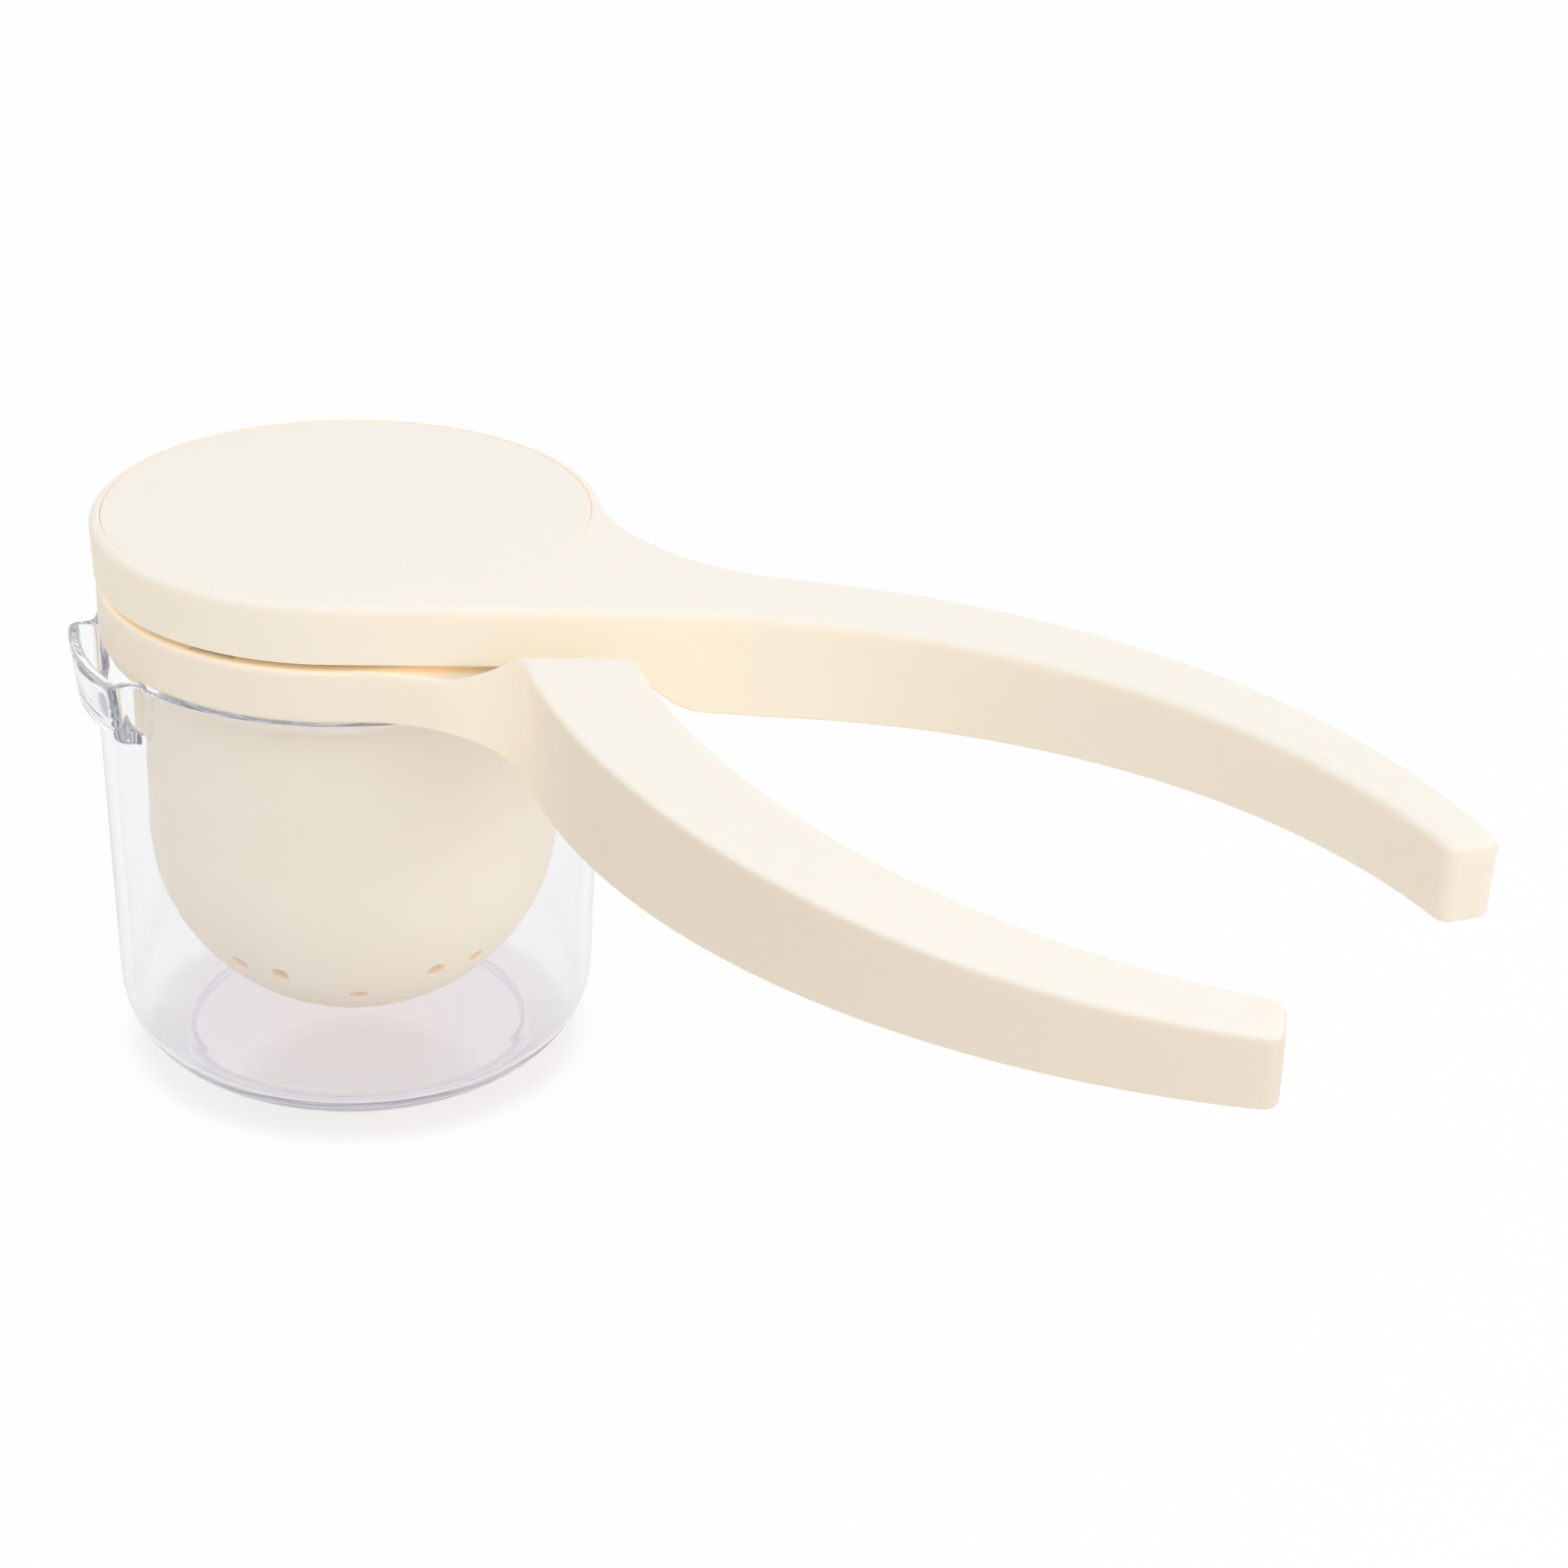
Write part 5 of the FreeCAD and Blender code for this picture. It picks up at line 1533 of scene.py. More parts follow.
@dataclass
class SmallScrew:
    """Countersunk screw with a cross recess, repeated at given places."""

    finishes: Finishes
    sink: float = 0.1
    head_radius: float = 3.0
    head_height: float = 1.1
    shank_radius: float = 1.32
    length: float = 9.1
    point_radius: float = 0.45
    point_height: float = 1.2
    thread_reach: float = 0.18
    thread_foot: float = 0.05
    thread_margin: float = 2.2
    pitch: float = 1.1
    root_share: float = 0.55
    tip_share: float = 0.12
    recess_length: float = 3.2
    recess_width: float = 0.8
    recess_depth: float = 0.7

    def _blank(self) -> Piece:
        """Turned screw without its thread and recess, its head's top at the origin.

        Returns:
            The screw's object.
        """
        corners = [(0.0, -self.length, 0.0), (self.point_radius, -self.length, 0.0)]
        corners += [(self.shank_radius, -self.length + self.point_height, 0.0)]
        corners += [(self.shank_radius, -self.head_height, 0.15), (self.head_radius, -self.head_height, 0.1)]
        corners += [(self.head_radius, 0.0, 0.28), (0.0, 0.0, 0.0)]
        return turned_shape("screw_blank", rounded(corners, 4), 40)

    def build(self, name: str, places: Sequence[Place], head_up: bool, body: str, node_stem: str) -> None:
        """Make one piece of several screws.

        Args:
            name: The piece's name.
            places: Top of each screw's head.
            head_up: Whether the heads look up.
            body: The body they move with.
            node_stem: The frame's nodes are called this and a number.
        """
        thread = Thread(
            radius=self.shank_radius - self.thread_foot,
            reach=self.thread_reach + self.thread_foot,
            root=self.pitch * self.root_share,
            tip=self.pitch * self.tip_share,
            start=-self.length + 1.3,
            rise=self.length - self.head_height - self.thread_margin,
            lead=self.pitch,
        )
        sizes = lengths(
            **asdict(thread),
            recess_length=self.recess_length,
            recess_width=self.recess_width,
            recess_depth=self.recess_depth,
        )
        others = {"blank": self._blank(), "turn over": 0.0 if head_up else math.pi}
        tree = GeometryTree("small_screws", {**sizes, **others})
        long, wide, deep = (tree.given(f"recess {way}") for way in ("length", "width", "depth"))
        cubes = [
            tree.node("GeometryNodeMeshCube", Size=tree.vector(*size, deep * 2)).outputs["Mesh"]
            for size in ((long, wide), (wide, long))
        ]
        screw = tree.join(tree.cut(tree.shape("blank"), *cubes), tree.thread_rib())
        screws = tree.copies(tree.given("Geometry"), screw, tree.vector(x=tree.given("turn over")))
        piece = tree.run(name, screws, self.finishes.steel, add_object(name + "_places", places, []))
        nodes = [f"{node_stem}{number}" for number in range(1, len(places) + 1)]
        hand_over(piece, body, nodes, 30.0)


@dataclass
class Strainer:
    """Handled ring, its basket and the cover of its hollow handle."""

    finishes: Finishes
    bottom: float = 83.4
    ring_top: float = 92.6
    ring_round: float = 1.2
    ring_low_round: float = 0.5
    bore: float = 37.5
    seat_floor: float = 90.0
    seat_radius: float = 40.85
    key_count: int = 3
    key_radius: float = 42.45
    key_half: float = 4.25
    key_shares: tuple[float, ...] = (-1.0, -0.985, -0.5, 0.0, 0.5, 0.985, 1.0)
    between_keys: int = 36
    skirt_inner: float = 41.45
    skirt_outer: float = 43.05
    skirt_bottom: float = 81.2
    taper_start: float = 70.0
    taper_radius: float = 555.0
    hollow_inset: float = 2.5
    hollow_web: float = 45.85
    roof: float = 3.0
    step: SoftStep = SoftStep(44.2, 11.4, 8.1)
    plan: HandlePlan = HandlePlan(Side.LOWER, hub_radius=44.35, root_round=28.5)
    basket_radius: float = 37.2
    basket_wall: float = 1.9
    bowl_height: float = 46.7
    bowl_steps: int = 54
    flange_radius: float = 40.6
    flange_edge: float = 0.3
    mouth_edge: float = 0.4
    basket_key_reach: float = 1.6
    basket_key_half: float = 4.0
    hole_radius: float = 1.6
    hole_mouth: float = 0.35
    hole_rows: tuple[tuple[float, tuple[float, ...]], ...] = (
        (27.2, (-127.1, -111.8, -60.6, -45.3)),
        (22.2, (-86.2, -26.2)),
        (18.2, (-103.7, -68.7, -43.7, -8.7)),
        (14.4, (-116.2, -56.2)),
        (11.6, (-86.2, -26.2)),
    )
    thread_starts: int = 3
    lead: float = 24.0
    rib_height: float = 81.5
    rib_reach: float = 2.0
    rib_foot: float = 0.4
    rib_root: float = 4.6
    rib_tip: float = 3.2
    rib_arc: float = 80.0

    def top(self, x: float, y: float) -> float:
        """Height of the ring's and the handle's top at a place in plan.

        Args:
            x: The place's first coordinate.
            y: Its second one.

        Returns:
            The height.
        """
        height = self.ring_top + self.step(-y)
        past = -y - self.taper_start
        if past > 0:
            height -= self.taper_radius - math.sqrt(self.taper_radius**2 - past**2)
        return height

    def _seat_turns(self) -> list[float]:
        """Turns of the seat's points, with the keys' corners among them.

        Returns:
            The turns in radians.
        """
        half = math.asin(self.key_half / self.seat_radius)
        gap = TURN / self.key_count - 2 * half
        turns: list[float] = []
        for key in range(self.key_count):
            middle = TURN * key / self.key_count
            turns += [middle + half * share for share in self.key_shares]
            turns += [middle + half + gap * n / self.between_keys for n in range(1, self.between_keys)]
        return turns

    def _keyed_loop(self, radius: float, key_radius: float, key_half: float, height: float) -> list[Place]:
        """Round outline with its three keys.

        Args:
            radius: Radius between the keys.
            key_radius: Distance of the keys' flat faces from the axis.
            key_half: Half of a key's width.
            height: Level of the outline.

        Returns:
            One place at each of the seat's turns.
        """
        half = math.asin(self.key_half / self.seat_radius)
        places: list[Place] = []
        for turn in self._seat_turns():
            middle = round(turn / (TURN / self.key_count)) * TURN / self.key_count
            off = turn - middle
            along, across = radius * math.cos(off), radius * math.sin(off)
            if abs(off) < half * 0.99:
                along, across = key_radius, key_half * off / (half * 0.985)
            cos, sin = math.cos(middle), math.sin(middle)
            places.append((along * cos - across * sin, along * sin + across * cos, height))
        return places

    def _seat_loop(self, height: float) -> list[Place]:
        """Outline of the basket's seat at a level."""
        return self._keyed_loop(self.seat_radius, self.key_radius, self.key_half, height)

    def build_ring(self) -> None:
        """Build and dress the ring with its hollow handle."""
        builder = Builder()
        underside = level(self.bottom)
        shell = HandledHub(self.plan, self.top, underside, self.ring_round, self.ring_low_round, 0.0)
        turns = self._seat_turns()
        hollow = self.plan.loop(self.hollow_inset, self.hollow_web)
        top_loops, bottom_loops = shell.build(
            builder,
            [self._seat_loop(self.ring_top)],
            [ring_loop(self.skirt_outer, self.bottom, turns), lifted(hollow, underside)],
        )
        stages = (
            (self.skirt_outer, self.skirt_bottom),
            (self.skirt_inner, self.skirt_bottom),
            (self.skirt_inner, self.bottom),
            (self.bore, self.bottom),
            (self.bore, self.seat_floor),
        )
        rows = [bottom_loops[0]]
        rows += [builder.add_loop(ring_loop(radius, height, turns)) for radius, height in stages]
        rows += [builder.add_loop(self._seat_loop(self.seat_floor)), top_loops[0]]
        builder.join_rows(rows, turned=True)
        roof_loop = builder.add_loop(lifted(hollow, self._roof_height))
        builder.join_loops(roof_loop, bottom_loops[1])
        builder.cap(roof_loop, [], self._roof_height, ROOF_NET, upwards=False)
        piece = builder.finish("ring_and_lower_handle")
        hand_over(piece, "strainer", ["lower_handle_ring"], finish=self.finishes.cream)

    def _roof_height(self, x: float, y: float) -> float:
        """Height of the roof over the handle's hollow at a place in plan."""
        return self.top(x, y) - self.roof

    def _basket_shell(self) -> Piece:
        """Basket without its holes and thread: a deep bowl with a keyed flange.

        Returns:
            The basket's object.
        """
        turns = self._seat_turns()
        arc = quarter(self.bowl_steps)
        outer, inner = self.basket_radius, self.basket_radius - self.basket_wall
        outside = [(outer * sin, self.bowl_height - outer * cos) for cos, sin in arc]
        outside += [(outer, self.bowl_height + 14.4 * n) for n in (1, 2)] + [(outer, self.seat_floor)]
        wide, narrow = self.flange_radius, self.flange_radius - self.flange_edge
        flange = [(narrow, self.seat_floor), (wide, self.seat_floor + self.flange_edge)]
        flange += [(wide, self.ring_top - self.flange_edge), (narrow, self.ring_top)]
        inside = [(inner + self.mouth_edge, self.ring_top), (inner, self.ring_top - self.mouth_edge)]
        inside.append((inner, self.bowl_height + 14.4))
        inside += [(inner * sin, self.bowl_height - inner * cos) for cos, sin in arc[:0:-1]]
        loops = [ring_loop(radius, height, turns) for radius, height in outside[1:]]
        reach, half = self.basket_key_reach, self.basket_key_half
        loops += [self._keyed_loop(radius, radius + reach, half, height) for radius, height in flange]
        loops += [ring_loop(radius, height, turns) for radius, height in inside]
        builder = Builder()
        bottom = builder.add_loop([(0.0, 0.0, outside[0][1])])[0]
        rows = [builder.add_loop(loop) for loop in loops]
        count = len(turns)
        builder.faces += [(bottom, rows[0][(n + 1) % count], rows[0][n]) for n in range(count)]
        builder.join_rows(rows)
        builder.fan(rows[-1], (0.0, 0.0, self.bowl_height - inner))
        return builder.finish("basket_shell")

    def _hole_places(self) -> Piece:
        """Middle of each drain hole on the outside of the bowl.

        Returns:
            An object with one point for each hole.
        """
        places: list[Place] = []
        for height, azimuths in self.hole_rows:
            across = math.sqrt(self.basket_radius**2 - (self.bowl_height - height) ** 2)
            turns = [math.radians(azimuth + 120 * third) for third in range(3) for azimuth in azimuths]
            places += ring_loop(across, height, turns)
        return add_object("hole_places", places, [])

    def _drill(self) -> Piece:
        """Shape that one drain hole takes out: a bore with a rounded mouth.

        Returns:
            The drill's object, pointing along the Z axis.
        """
        back, front = -self.basket_wall - 1.2, 1.2
        mouth = self.hole_radius + self.hole_mouth
        profile = [(0.0, back), (self.hole_radius, back), (self.hole_radius, -self.hole_mouth - 0.1)]
        for cos, sin in quarter(4, 1):
            profile.append((mouth - self.hole_mouth * cos, -0.1 - self.hole_mouth * (1 - sin)))
        profile += [(mouth + 0.1, front), (0.0, front)]
        return turned_shape("drill", profile, 28)

    def build_basket(self) -> None:
        """Build and dress the strainer basket with its holes and thread."""
        thread = Thread(
            radius=self.basket_radius - self.basket_wall + self.rib_foot,
            reach=-self.rib_reach - self.rib_foot,
            root=self.rib_root,
            tip=self.rib_tip,
            start=self.rib_height + self.rib_root / 2,
            rise=self.lead * self.rib_arc / 360,
            lead=self.lead,
        )
        others = {"starts": self.thread_starts, "holes": self._hole_places(), "drill": self._drill()}
        sizes = lengths(**asdict(thread), bowl_height=self.bowl_height)
        tree = GeometryTree("drained_basket", {**sizes, **others})
        way = tree.node("ShaderNodeVectorMath", {"operation": "SUBTRACT"})
        place = tree.node("GeometryNodeInputPosition").outputs[0]
        tree.feed_all(way, place, tree.vector(z=tree.given("bowl height")))
        turn = tree.node("FunctionNodeAlignRotationToVector", {"axis": "Z"}, Vector=way.outputs[0])
        drills = tree.copies(tree.shape("holes"), tree.shape("drill"), turn.outputs[0])
        cutters = tree.node("GeometryNodeRealizeInstances", Geometry=drills).outputs[0]
        drilled = tree.cut(tree.given("Geometry"), cutters)
        ribs = tree.round_the_axis(tree.thread_rib(), tree.given("starts"))
        basket = tree.join(drilled, ribs)
        piece = tree.run("strainer_bowl", basket, self.finishes.inner_cream, self._basket_shell())
        hand_over(piece, "strainer", ["strainer_basket"])

    def build_screws(self) -> None:
        """Build the screws of the handle's cover, heads down."""
        places = lifted(self.plan.screw_places(), level(self.bottom + SmallScrew.sink))
        screws = SmallScrew(self.finishes)
        screws.build("lower_cover_screws", places, False, "strainer", "lower_cover_screw_")

    def build_cover(self) -> None:
        """Dress the cover of the handle's hollow."""
        dress(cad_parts["lower_handle_cover"], self.finishes.cream)


@dataclass
class Lid:
    """Handled lid with its pressed-in disc and the cover of its hollow handle."""

    finishes: Finishes
    top: float = 105.0
    bottom: float = 94.0
    edge_round: float = 1.8
    low_edge_round: float = 0.9
    draft: float = 0.4
    seat_radius: float = 43.12
    seat_floor: float = 103.0
    inside_radius: float = 42.4
    inside_top: float = 100.5
    peg_hole: float = 3.12
    screw_count: int = 4
    screw_circle: float = 28.4
    screw_hole: float = 1.6
    screw_sink: float = 3.1
    sink_floor: float = 101.8
    net_spacing: float = 4.0
    taper_start: float = 72.0
    taper_slope: float = math.radians(3.25)
    hollow_inset: float = 2.5
    hollow_web: float = 46.5
    roof: float = 3.0
    step: SoftStep = SoftStep(45.0, -7.8, 10.3)
    plan: HandlePlan = HandlePlan(Side.UPPER, hub_radius=45.0, root_round=43.7)
    disc_radius: float = 43.0
    disc_round: float = 0.25
    peg_radius: float = 3.0
    peg_bottom: float = 101.2
    core_bottom: float = 40.0
    core_floor_top: float = 43.0
    core_bore: float = 3.05
    core_root: float = 32.95
    core_inside: float = 30.95
    core_crest: float = 34.9
    core_flange_radius: float = 40.4
    core_flange_bottom: float = 97.1
    core_flange_top: float = 99.5
    thread_starts: int = 3
    core_rib_foot: float = 0.3
    core_rib_root: float = 3.9
    core_rib_tip: float = 2.5
    core_rib_start: float = 47.8
    core_rib_rise: float = 45.4
    lead: float = 24.0
    boss_radius: float = 3.6
    boss_bottom: float = 86.5
    boss_floor: float = 4.0

    def _underside(self, x: float, y: float) -> float:
        """Height of the lid's and the handle's underside at a place in plan.

        Args:
            x: The place's first coordinate.
            y: Its second one.

        Returns:
            The height.
        """
        height = self.bottom + self.step(x)
        if x > self.taper_start:
            height += (x - self.taper_start) * math.tan(self.taper_slope)
        return height

    def _screw_turns(self) -> list[float]:
        """Turns of the core's screws about the axis."""
        return [QUARTER * n for n in range(self.screw_count)]

    def build_lid(self) -> None:
        """Build and dress the lid with its hollow handle."""
        builder = Builder()
        rounds = (self.edge_round, self.low_edge_round)
        shell = HandledHub(self.plan, level(self.top), self._underside, *rounds, self.draft)
        hollow = self.plan.loop(self.hollow_inset, self.hollow_web)
        top_loops, bottom_loops = shell.build(
            builder,
            [circle_loop(self.seat_radius, self.top)],
            [circle_loop(self.inside_radius, self.bottom), lifted(hollow, self._underside)],
        )
        screws = [place[:2] for place in ring_loop(self.screw_circle, 0.0, self._screw_turns())]

        def plate(edge: list[int], screw_radius: float, height: float, upwards: bool) -> list[list[int]]:
            """Fill a level plate round the peg's and the screws' holes.

            Args:
                edge: Numbers of the points round the plate.
                screw_radius: Radius of the screws' holes.
                height: The plate's level.
                upwards: Whether it looks up.

            Returns:
                Numbers of the points round each hole, the peg's first.
            """
            circles = [small_circle((0.0, 0.0), self.peg_hole, height)]
            circles += [small_circle(at, screw_radius, height) for at in screws]
            holes = [builder.add_loop(circle) for circle in circles]
            builder.cap(edge, holes, level(height), self.net_spacing, upwards)
            return holes

        floor_edge = builder.add_loop(circle_loop(self.seat_radius, self.seat_floor))
        builder.join_loops(top_loops[0], floor_edge)
        floor_holes = plate(floor_edge, self.screw_sink, self.seat_floor, True)
        ceiling_edge = builder.add_loop(circle_loop(self.inside_radius, self.inside_top))
        builder.join_loops(ceiling_edge, bottom_loops[0])
        ceiling_holes = plate(ceiling_edge, self.screw_hole, self.inside_top, False)
        builder.join_loops(floor_holes[0], ceiling_holes[0])
        for at, floor_hole, ceiling_hole in zip(screws, floor_holes[1:], ceiling_holes[1:]):
            sink = builder.add_loop(small_circle(at, self.screw_sink, self.sink_floor))
            waist = builder.add_loop(small_circle(at, self.screw_hole, self.sink_floor))
            builder.join_rows([floor_hole, sink, waist, ceiling_hole])
        roof = level(self.top - self.roof)
        roof_loop = builder.add_loop(lifted(hollow, roof))
        builder.join_loops(roof_loop, bottom_loops[1])
        builder.cap(roof_loop, [], roof, ROOF_NET, upwards=False)
        piece = builder.finish("lid_and_upper_handle")
        hand_over(piece, "lid", ["upper_handle_lid"], finish=self.finishes.lid_cream)

    def build_disc(self) -> None:
        """Build and dress the disc that hides the core's screws."""
        corners = [(0.0, self.peg_bottom, 0.0), (self.peg_radius, self.peg_bottom, 0.3)]
        corners += [(self.peg_radius, self.seat_floor, 0.0), (self.disc_radius, self.seat_floor, 0.2)]
        corners.append((self.disc_radius, self.top, self.disc_round))
        corners += [(radius, self.top, 0.0) for radius in (30.0, 12.0, 0.0)]
        piece = turned_shape("lid_disc_plate", rounded(corners), 144)
        hand_over(piece, "lid", ["lid_disc"], finish=self.finishes.disc)

    def _core_shell(self) -> Piece:
        """Core without its thread and bosses: a tube with a floor and a flange.

        Returns:
            The core's object.
        """
        low, floor = self.core_bottom, self.core_floor_top
        flange, flange_low = self.core_flange_radius, self.core_flange_bottom
        flange_top = self.core_flange_top
        corners = [(self.core_bore, low, 0.0), (self.core_root, low, 0.8), (self.core_root, flange_low, 0.4)]
        corners += [(flange, flange_low, 0.3), (flange, flange_top, 0.3), (self.core_inside, flange_top, 0.3)]
        corners += [(self.core_inside, floor, 1.2), (self.core_bore, floor, 0.0)]
        return turned_shape("core_shell", rounded(corners, 5), 160, closed=True)

    def _boss(self) -> Piece:
        """One screw boss of the core, at its place on the X axis.

        Returns:
            The boss's object.
        """
        inner_floor = self.boss_bottom + self.boss_floor
        profile = [(0.0, self.boss_bottom), (self.boss_radius, self.boss_bottom)]
        profile += [(self.boss_radius, self.inside_top), (self.screw_hole, self.inside_top)]
        profile += [(self.screw_hole, inner_floor), (0.0, inner_floor)]
        return turned_shape("core_boss", profile, 40, shift=self.screw_circle)

    def build_core(self) -> None:
        """Build and dress the threaded core that carries the press head."""
        thread = Thread(
            radius=self.core_root - self.core_rib_foot,
            reach=self.core_crest - self.core_root + self.core_rib_foot,
            root=self.core_rib_root,
            tip=self.core_rib_tip,
            start=self.core_rib_start,
            rise=self.core_rib_rise,
            lead=self.lead,
        )
        others = {"starts": self.thread_starts, "bosses": self.screw_count, "boss": self._boss()}
        tree = GeometryTree("screw_core", {**lengths(**asdict(thread)), **others})
        ribs = tree.round_the_axis(tree.thread_rib(), tree.given("starts"))
        bosses = tree.round_the_axis(tree.shape("boss"), tree.given("bosses"))
        core = tree.join(tree.given("Geometry"), ribs, bosses)
        piece = tree.run("threaded_core", core, self.finishes.inner_cream, self._core_shell())
        hand_over(piece, "lid", ["screw_core"])

    def build_screws(self) -> None:
        """Build the screws of the handle's cover and those that hold the core."""
        screws = SmallScrew(self.finishes)
        covers = [(x, y, self._underside(x, y) + SmallScrew.sink) for x, y in self.plan.screw_places()]
        screws.build("upper_cover_screws", covers, False, "lid", "upper_cover_screw_")
        core = ring_loop(self.screw_circle, self.seat_floor - SmallScrew.sink, self._screw_turns())
        screws.build("core_screws", core, True, "lid", "core_screw_")

    def dress_nodes(self) -> None:
        """Dress the cover of the handle's hollow and the seal under the lid."""
        dress(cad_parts["upper_handle_cover"], self.finishes.lid_cream)
        dress(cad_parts["core_seal"], self.finishes.silicone)


@dataclass
class Presser:
    """Domed press head and the swivel that hangs it under the core."""

    finishes: Finishes
    radius: float = 32.9
    top: float = 39.1
    side: float = 2.1
    bottom: float = 17.5
    wall: float = 2.4
    edge: float = 0.3
    edge_foot: float = 0.12
    hub_radius: float = 9.0
    bore: float = 2.05
    bore_bottom: float = 28.1
    dome_steps: int = 24
    inner_steps: int = 16
    rib_count: int = 8
    rib_width: float = 2.4
    rib_depth: float = 1.6
    rib_first: float = 3.0
    rib_end_margin: float = 1.5
    rib_lift: float = 0.3
    rib_round: float = 0.7
    rib_root: float = 0.6
    rib_least: float = 0.2
    rib_steps: int = 18

    def _height(self, across: float, inset: float = 0.0) -> float:
        """Height of the dome, or of one inset into it, at a distance from the axis.

        Args:
            across: The distance.
            inset: How far the second dome lies inside the first.

        Returns:
            The height.
        """
        rise = self.top - self.side - self.bottom
        dome = (self.radius**2 + rise**2) / (2 * rise)
        return self.bottom + dome - math.sqrt((dome - inset) ** 2 - across**2)

    def _shell(self) -> Piece:
        """Head without its ribs: a hollow dome with a hub.

        Returns:
            The head's object.
        """
        rim, steps = self.radius - self.wall, self.dome_steps
        places = [self.radius * n / steps for n in range(1, steps)]
        profile = [(0.0, self.bottom)] + [(across, self._height(across)) for across in places]
        low = self._height(self.radius)
        profile += [(self.radius - self.edge_foot, low - self.edge_foot), (self.radius, low + self.edge)]
        profile += [(self.radius, self.top - self.edge), (self.radius - self.edge, self.top)]
        profile += [(rim + self.edge, self.top), (rim, self.top - self.edge)]
        span, steps = self.hub_radius - rim, self.inner_steps
        places = [rim + span * n / steps for n in range(steps + 1)]
        profile += [(across, self._height(across, self.wall)) for across in places]
        profile += [(self.hub_radius, self.top - self.edge), (self.hub_radius - self.edge, self.top)]
        profile += [(self.bore, self.top), (self.bore, self.bore_bottom), (0.0, self.bore_bottom)]
        return turned_shape("head_shell", profile, 160)

    def _rib(self) -> Piece:
        """One rib under the dome, along the X axis.

        Returns:
            The rib's object.
        """
        first, last = self.rib_first, self.radius - self.rib_end_margin
        middle = (first + last) / 2
        start, end = (Vector((along, self._height(along) + self.rib_lift)) for along in (first, last))
        crown = Vector((middle, self._height(middle) - self.rib_depth))
        chord = end - start
        half = chord.length / 2
        sag = abs(chord.x * (crown.y - start.y) - chord.y * (crown.x - start.x)) / chord.length
        radius = (half**2 + sag**2) / (2 * sag)
        up = Vector((-chord.y, chord.x)).normalized()
        centre = (start + end) / 2 + up * (radius - sag)
        reach = math.asin(half / radius)
        across = self.rib_width / 2
        builder = Builder()
        rows: list[list[int]] = []
        for step in range(self.rib_steps + 1):
            turn = reach * (2 * step / self.rib_steps - 1)
            low = centre - up * radius * math.cos(turn) + chord.normalized() * radius * math.sin(turn)
            depth = max(self._height(low.x) + self.rib_root - low.y, self.rib_least)
            bend = min(self.rib_round, depth * 0.8)
            section = [(-across, depth), (-across, bend)]
            section += [(-across + bend * (1 - cos), bend * (1 - sin)) for cos, sin in quarter(4, 1)]
            section += [(-y, z) for y, z in reversed(section)]
            rows.append(builder.add_loop([(low.x, y, low.y + z) for y, z in section]))
        builder.join_rows(rows, turned=True)
        builder.faces += [tuple(rows[0][::-1]), tuple(rows[-1])]
        return builder.finish("head_rib")

    def build_head(self) -> None:
        """Build and dress the press head with its ribs."""
        tree = GeometryTree("ribbed_head", {"ribs": self.rib_count, "rib": self._rib()})
        ribs = tree.round_the_axis(tree.shape("rib"), tree.given("ribs"))
        head = tree.join(tree.given("Geometry"), ribs)
        piece = tree.run("ribbed_press_head", head, self.finishes.inner_cream, self._shell())
        hand_over(piece, "presser", ["press_head"])

    def dress_nodes(self) -> None:
        """Dress the washers and the swivel screw."""
        dress(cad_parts["thrust_washer"], self.finishes.waxy)
        for name in ("retaining_washer", "swivel_screw"):
            dress(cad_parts[name], self.finishes.steel)


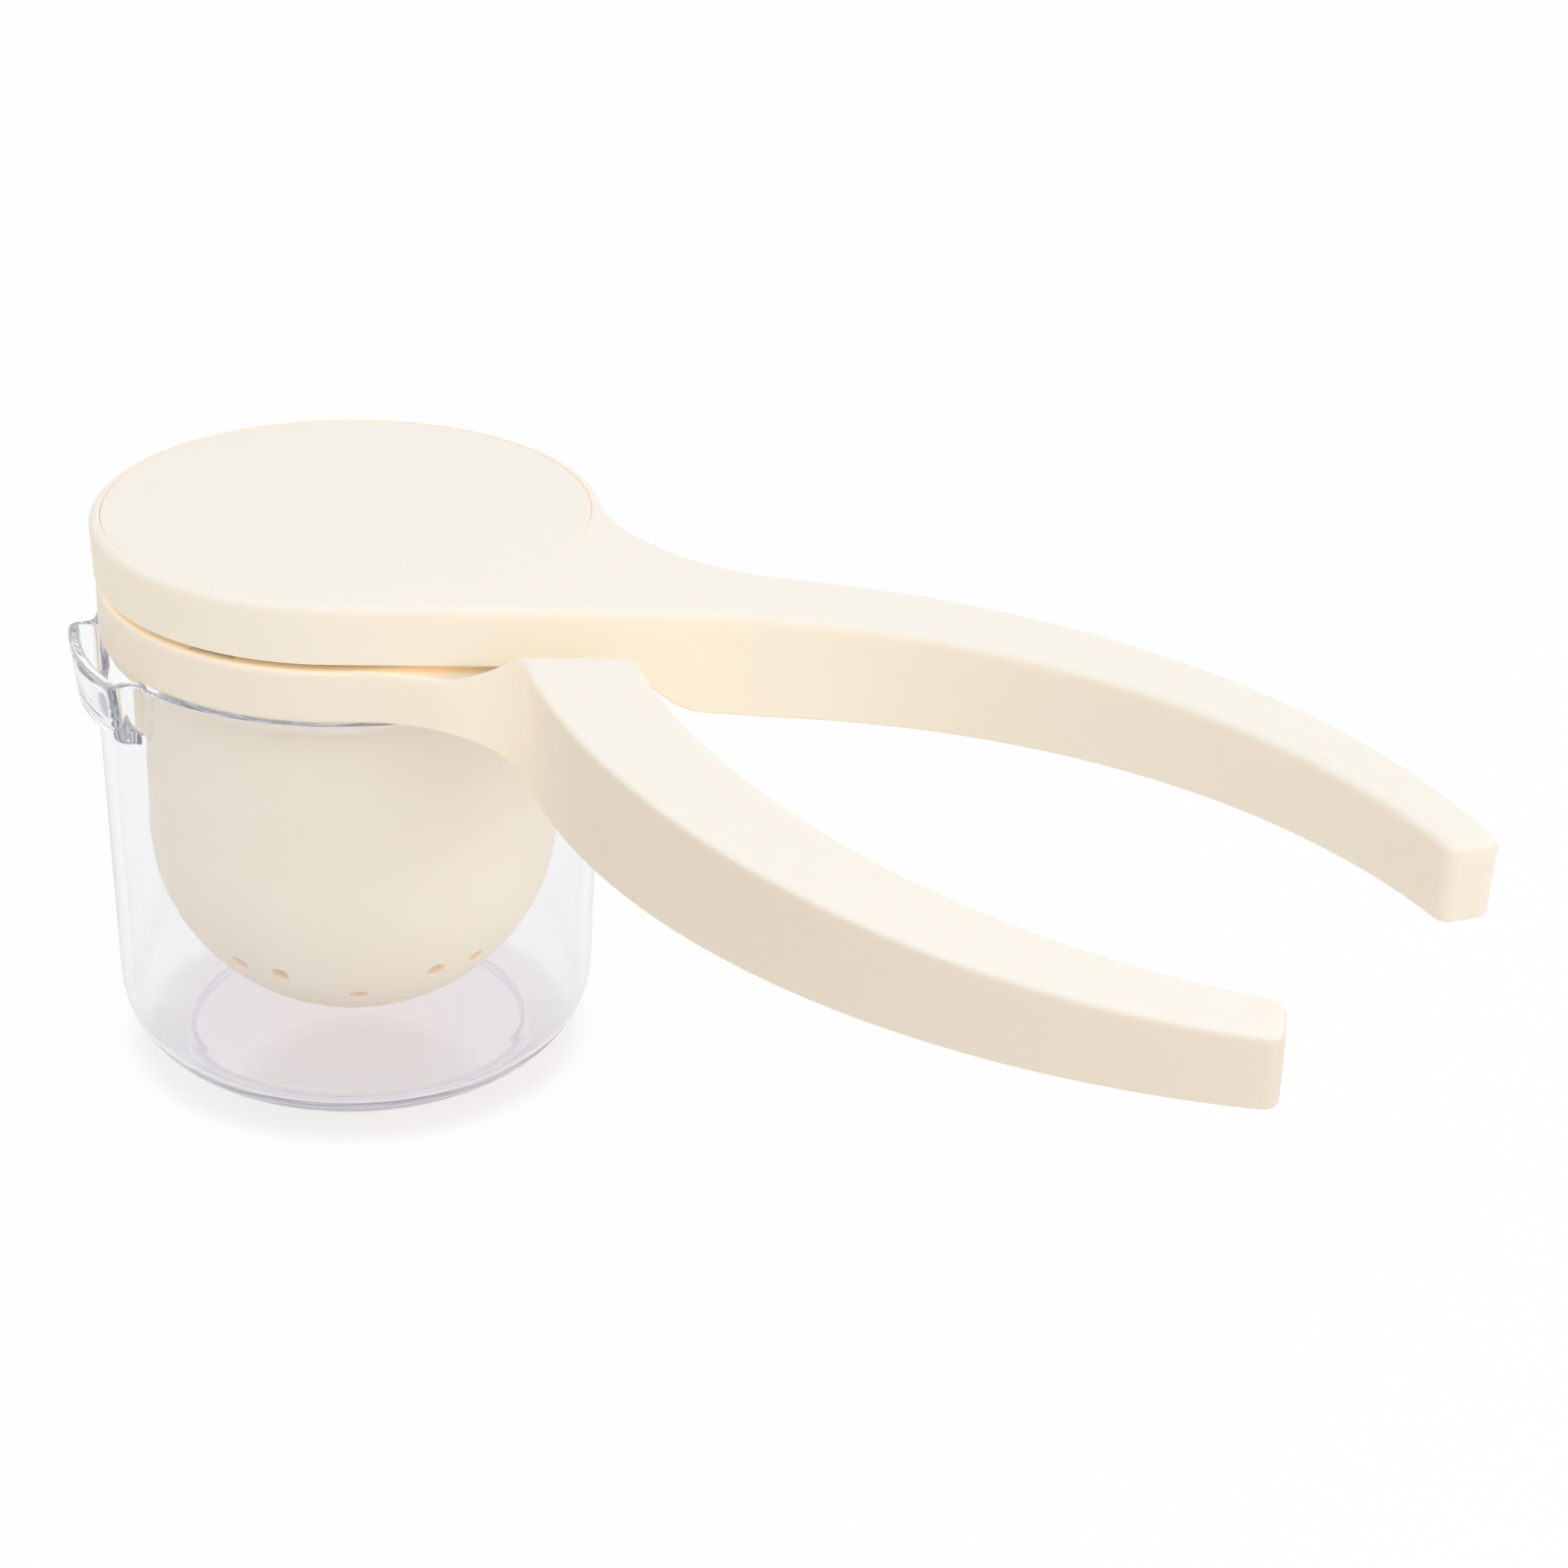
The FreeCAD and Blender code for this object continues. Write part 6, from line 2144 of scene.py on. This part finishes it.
@dataclass
class Studio:
    """Pale floor, a soft lamp, white surroundings and the camera.

    The lamp's place, target and size and the view's end are in metres, other
    lengths in millimetres.
    """

    camera_place: Place = (39.97, -600.0, 344.81)
    yaw: float = -0.06470
    pitch: float = 0.45467
    roll: float = 0.03441
    lens: float = 83.40
    sensor: float = 36.0
    view_end: float = 20.0
    floor_radius: float = 3200.0
    floor_drop: float = 0.08
    floor_high: Rgb = (247, 247, 247)
    floor_low: Rgb = (245, 245, 245)
    seen_floor: Rgb = (255, 255, 255)
    # Painted warm reflection of the basket on the floor under the cup.
    warm_floor: Rgb = (255, 243, 237)
    warm_until: Flat = (8.0, 34.0)
    warm_share: float = 0.52
    # Painted shadow under the cup: the white the camera sees is lowered there.
    cup_until: Flat = (38.0, 45.0)
    floor_lift: float = 0.93
    cup_shade: float = 0.42
    fade_start: float = 700.0
    fade_end: float = 0.98
    sky: float = 0.88
    lamp_place: Place = (0.74, -0.82, 0.9)
    lamp_target: Place = (0.04, -0.03, 0.06)
    lamp_size: float = 0.9
    lamp_watts: float = 3.2
    bounces: int = 24
    glossy_bounces: int = 16
    clear_bounces: int = 20

    def build_camera(self) -> None:
        """Place the camera at the photograph's angle."""
        data = bpy.data.cameras.new("camera")
        data.lens = self.lens
        data.sensor_width = self.sensor
        data.clip_end = self.view_end
        camera = bpy.data.objects.new("camera", data)
        bpy.context.scene.collection.objects.link(camera)
        ahead = math.cos(self.pitch)
        forward = Vector((-math.sin(self.yaw) * ahead, math.cos(self.yaw) * ahead, -math.sin(self.pitch)))
        beside = Vector((math.cos(self.yaw), math.sin(self.yaw), 0.0))
        rise = beside.cross(forward)
        across = beside * math.cos(self.roll) + rise * math.sin(self.roll)
        upright = rise * math.cos(self.roll) - beside * math.sin(self.roll)
        turn = Matrix((across, upright, -forward)).transposed().to_4x4()
        camera.matrix_world = Matrix.Translation(Vector(self.camera_place) * MM) @ turn
        bpy.context.scene.camera = camera

    def _floor_finish(self) -> Material:
        """Matt floor, white to the camera and clear from below, with a painted
        shadow under the cup and a painted warm reflection of the basket in its middle.

        Returns:
            The material.
        """
        graph = ShaderGraph.material("floor_white")
        patch = graph.noise(3.0, 2.0)
        matt = graph.shader(
            "BsdfPrincipled",
            Base_Color=graph.mix(patch, linear(*self.floor_high), linear(*self.floor_low)),
            Roughness=0.9,
            Specular_IOR_Level=0.1,
        )
        _, _, _, across = graph.axes()
        # Middle of the floor under the cup, where the painted warm reflection of the basket lies.
        middle = across.until(*self.warm_until)
        white = graph.shader("Emission", Color=linear(*self.seen_floor), Strength=1.0)
        basket_reflection = graph.shader("Emission", Color=linear(*self.warm_floor), Strength=1.0)
        # Painted shadow under the cup, lighter in its middle.
        under_cup = across.until(*self.cup_until) * (1.0 - middle * self.warm_share)
        seen = graph.rays("Camera", "Transmission") * (self.floor_lift - under_cup * self.cup_shade)
        floor = graph.either(seen, matt, graph.either(middle, white, basket_reflection))
        far = across.between(self.fade_start, self.floor_radius * self.fade_end)
        behind = graph.value(graph.node("ShaderNodeNewGeometry"), "Backfacing")
        return graph.surface(graph.either(far.larger(behind), floor, graph.shader("BsdfTransparent")))

    def build_floor(self) -> None:
        """Lay the round floor."""
        builder = Builder()
        radii = [self.floor_radius * share for share in (0.1, 0.4, 1.0)]
        rows = [builder.add_loop(circle_loop(radius, -self.floor_drop, 96)) for radius in radii]
        builder.join_rows(rows, turned=True)
        builder.fan(rows[0], (0.0, 0.0, -self.floor_drop))
        piece = builder.finish("floor")
        dress(piece, self._floor_finish())

    def build_world(self) -> None:
        """Light the scene evenly and show white to the camera and in glossy and clear pieces."""
        world = bpy.data.worlds.new("studio")
        bpy.context.scene.world = world
        graph = ShaderGraph(world)
        plain = graph.shader("Background", Color=(1.0, 1.0, 1.0), Strength=self.sky)
        white = graph.shader("Background", Color=(1.0, 1.0, 1.0), Strength=1.0)
        graph.surface(graph.either(graph.rays("Camera", "Transmission", "Glossy"), plain, white))

    def build_lamp(self) -> None:
        """Add a soft square lamp that looks at the juicer."""
        data = bpy.data.lights.new("key", "AREA")
        data.size = self.lamp_size
        data.energy = self.lamp_watts
        lamp = bpy.data.objects.new("key", data)
        bpy.context.scene.collection.objects.link(lamp)
        way = Vector(self.lamp_target) - Vector(self.lamp_place)
        lamp.location = self.lamp_place
        lamp.rotation_euler = way.to_track_quat("-Z", "Y").to_euler()

    def build(self) -> None:
        """Set the whole studio up."""
        scene = bpy.context.scene
        scene.view_settings.view_transform = "Standard"
        scene.cycles.max_bounces = self.bounces
        scene.cycles.glossy_bounces = self.glossy_bounces
        scene.cycles.transmission_bounces = self.clear_bounces
        self.build_camera()
        self.build_floor()
        self.build_world()
        self.build_lamp()
        LOG.info("studio is ready")


def main() -> None:
    """Build the juicer piece by piece, and the studio around it."""
    logging.basicConfig(level=logging.INFO, format="%(message)s")
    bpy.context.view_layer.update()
    finishes = Finishes()
    Cup(finishes).build()
    strainer = Strainer(finishes)
    strainer.build_ring()
    strainer.build_basket()
    strainer.build_cover()
    strainer.build_screws()
    lid = Lid(finishes)
    lid.build_lid()
    lid.build_disc()
    lid.build_core()
    lid.build_screws()
    lid.dress_nodes()
    presser = Presser(finishes)
    presser.build_head()
    presser.dress_nodes()
    Studio().build()


if __name__ == "__main__":
    main()
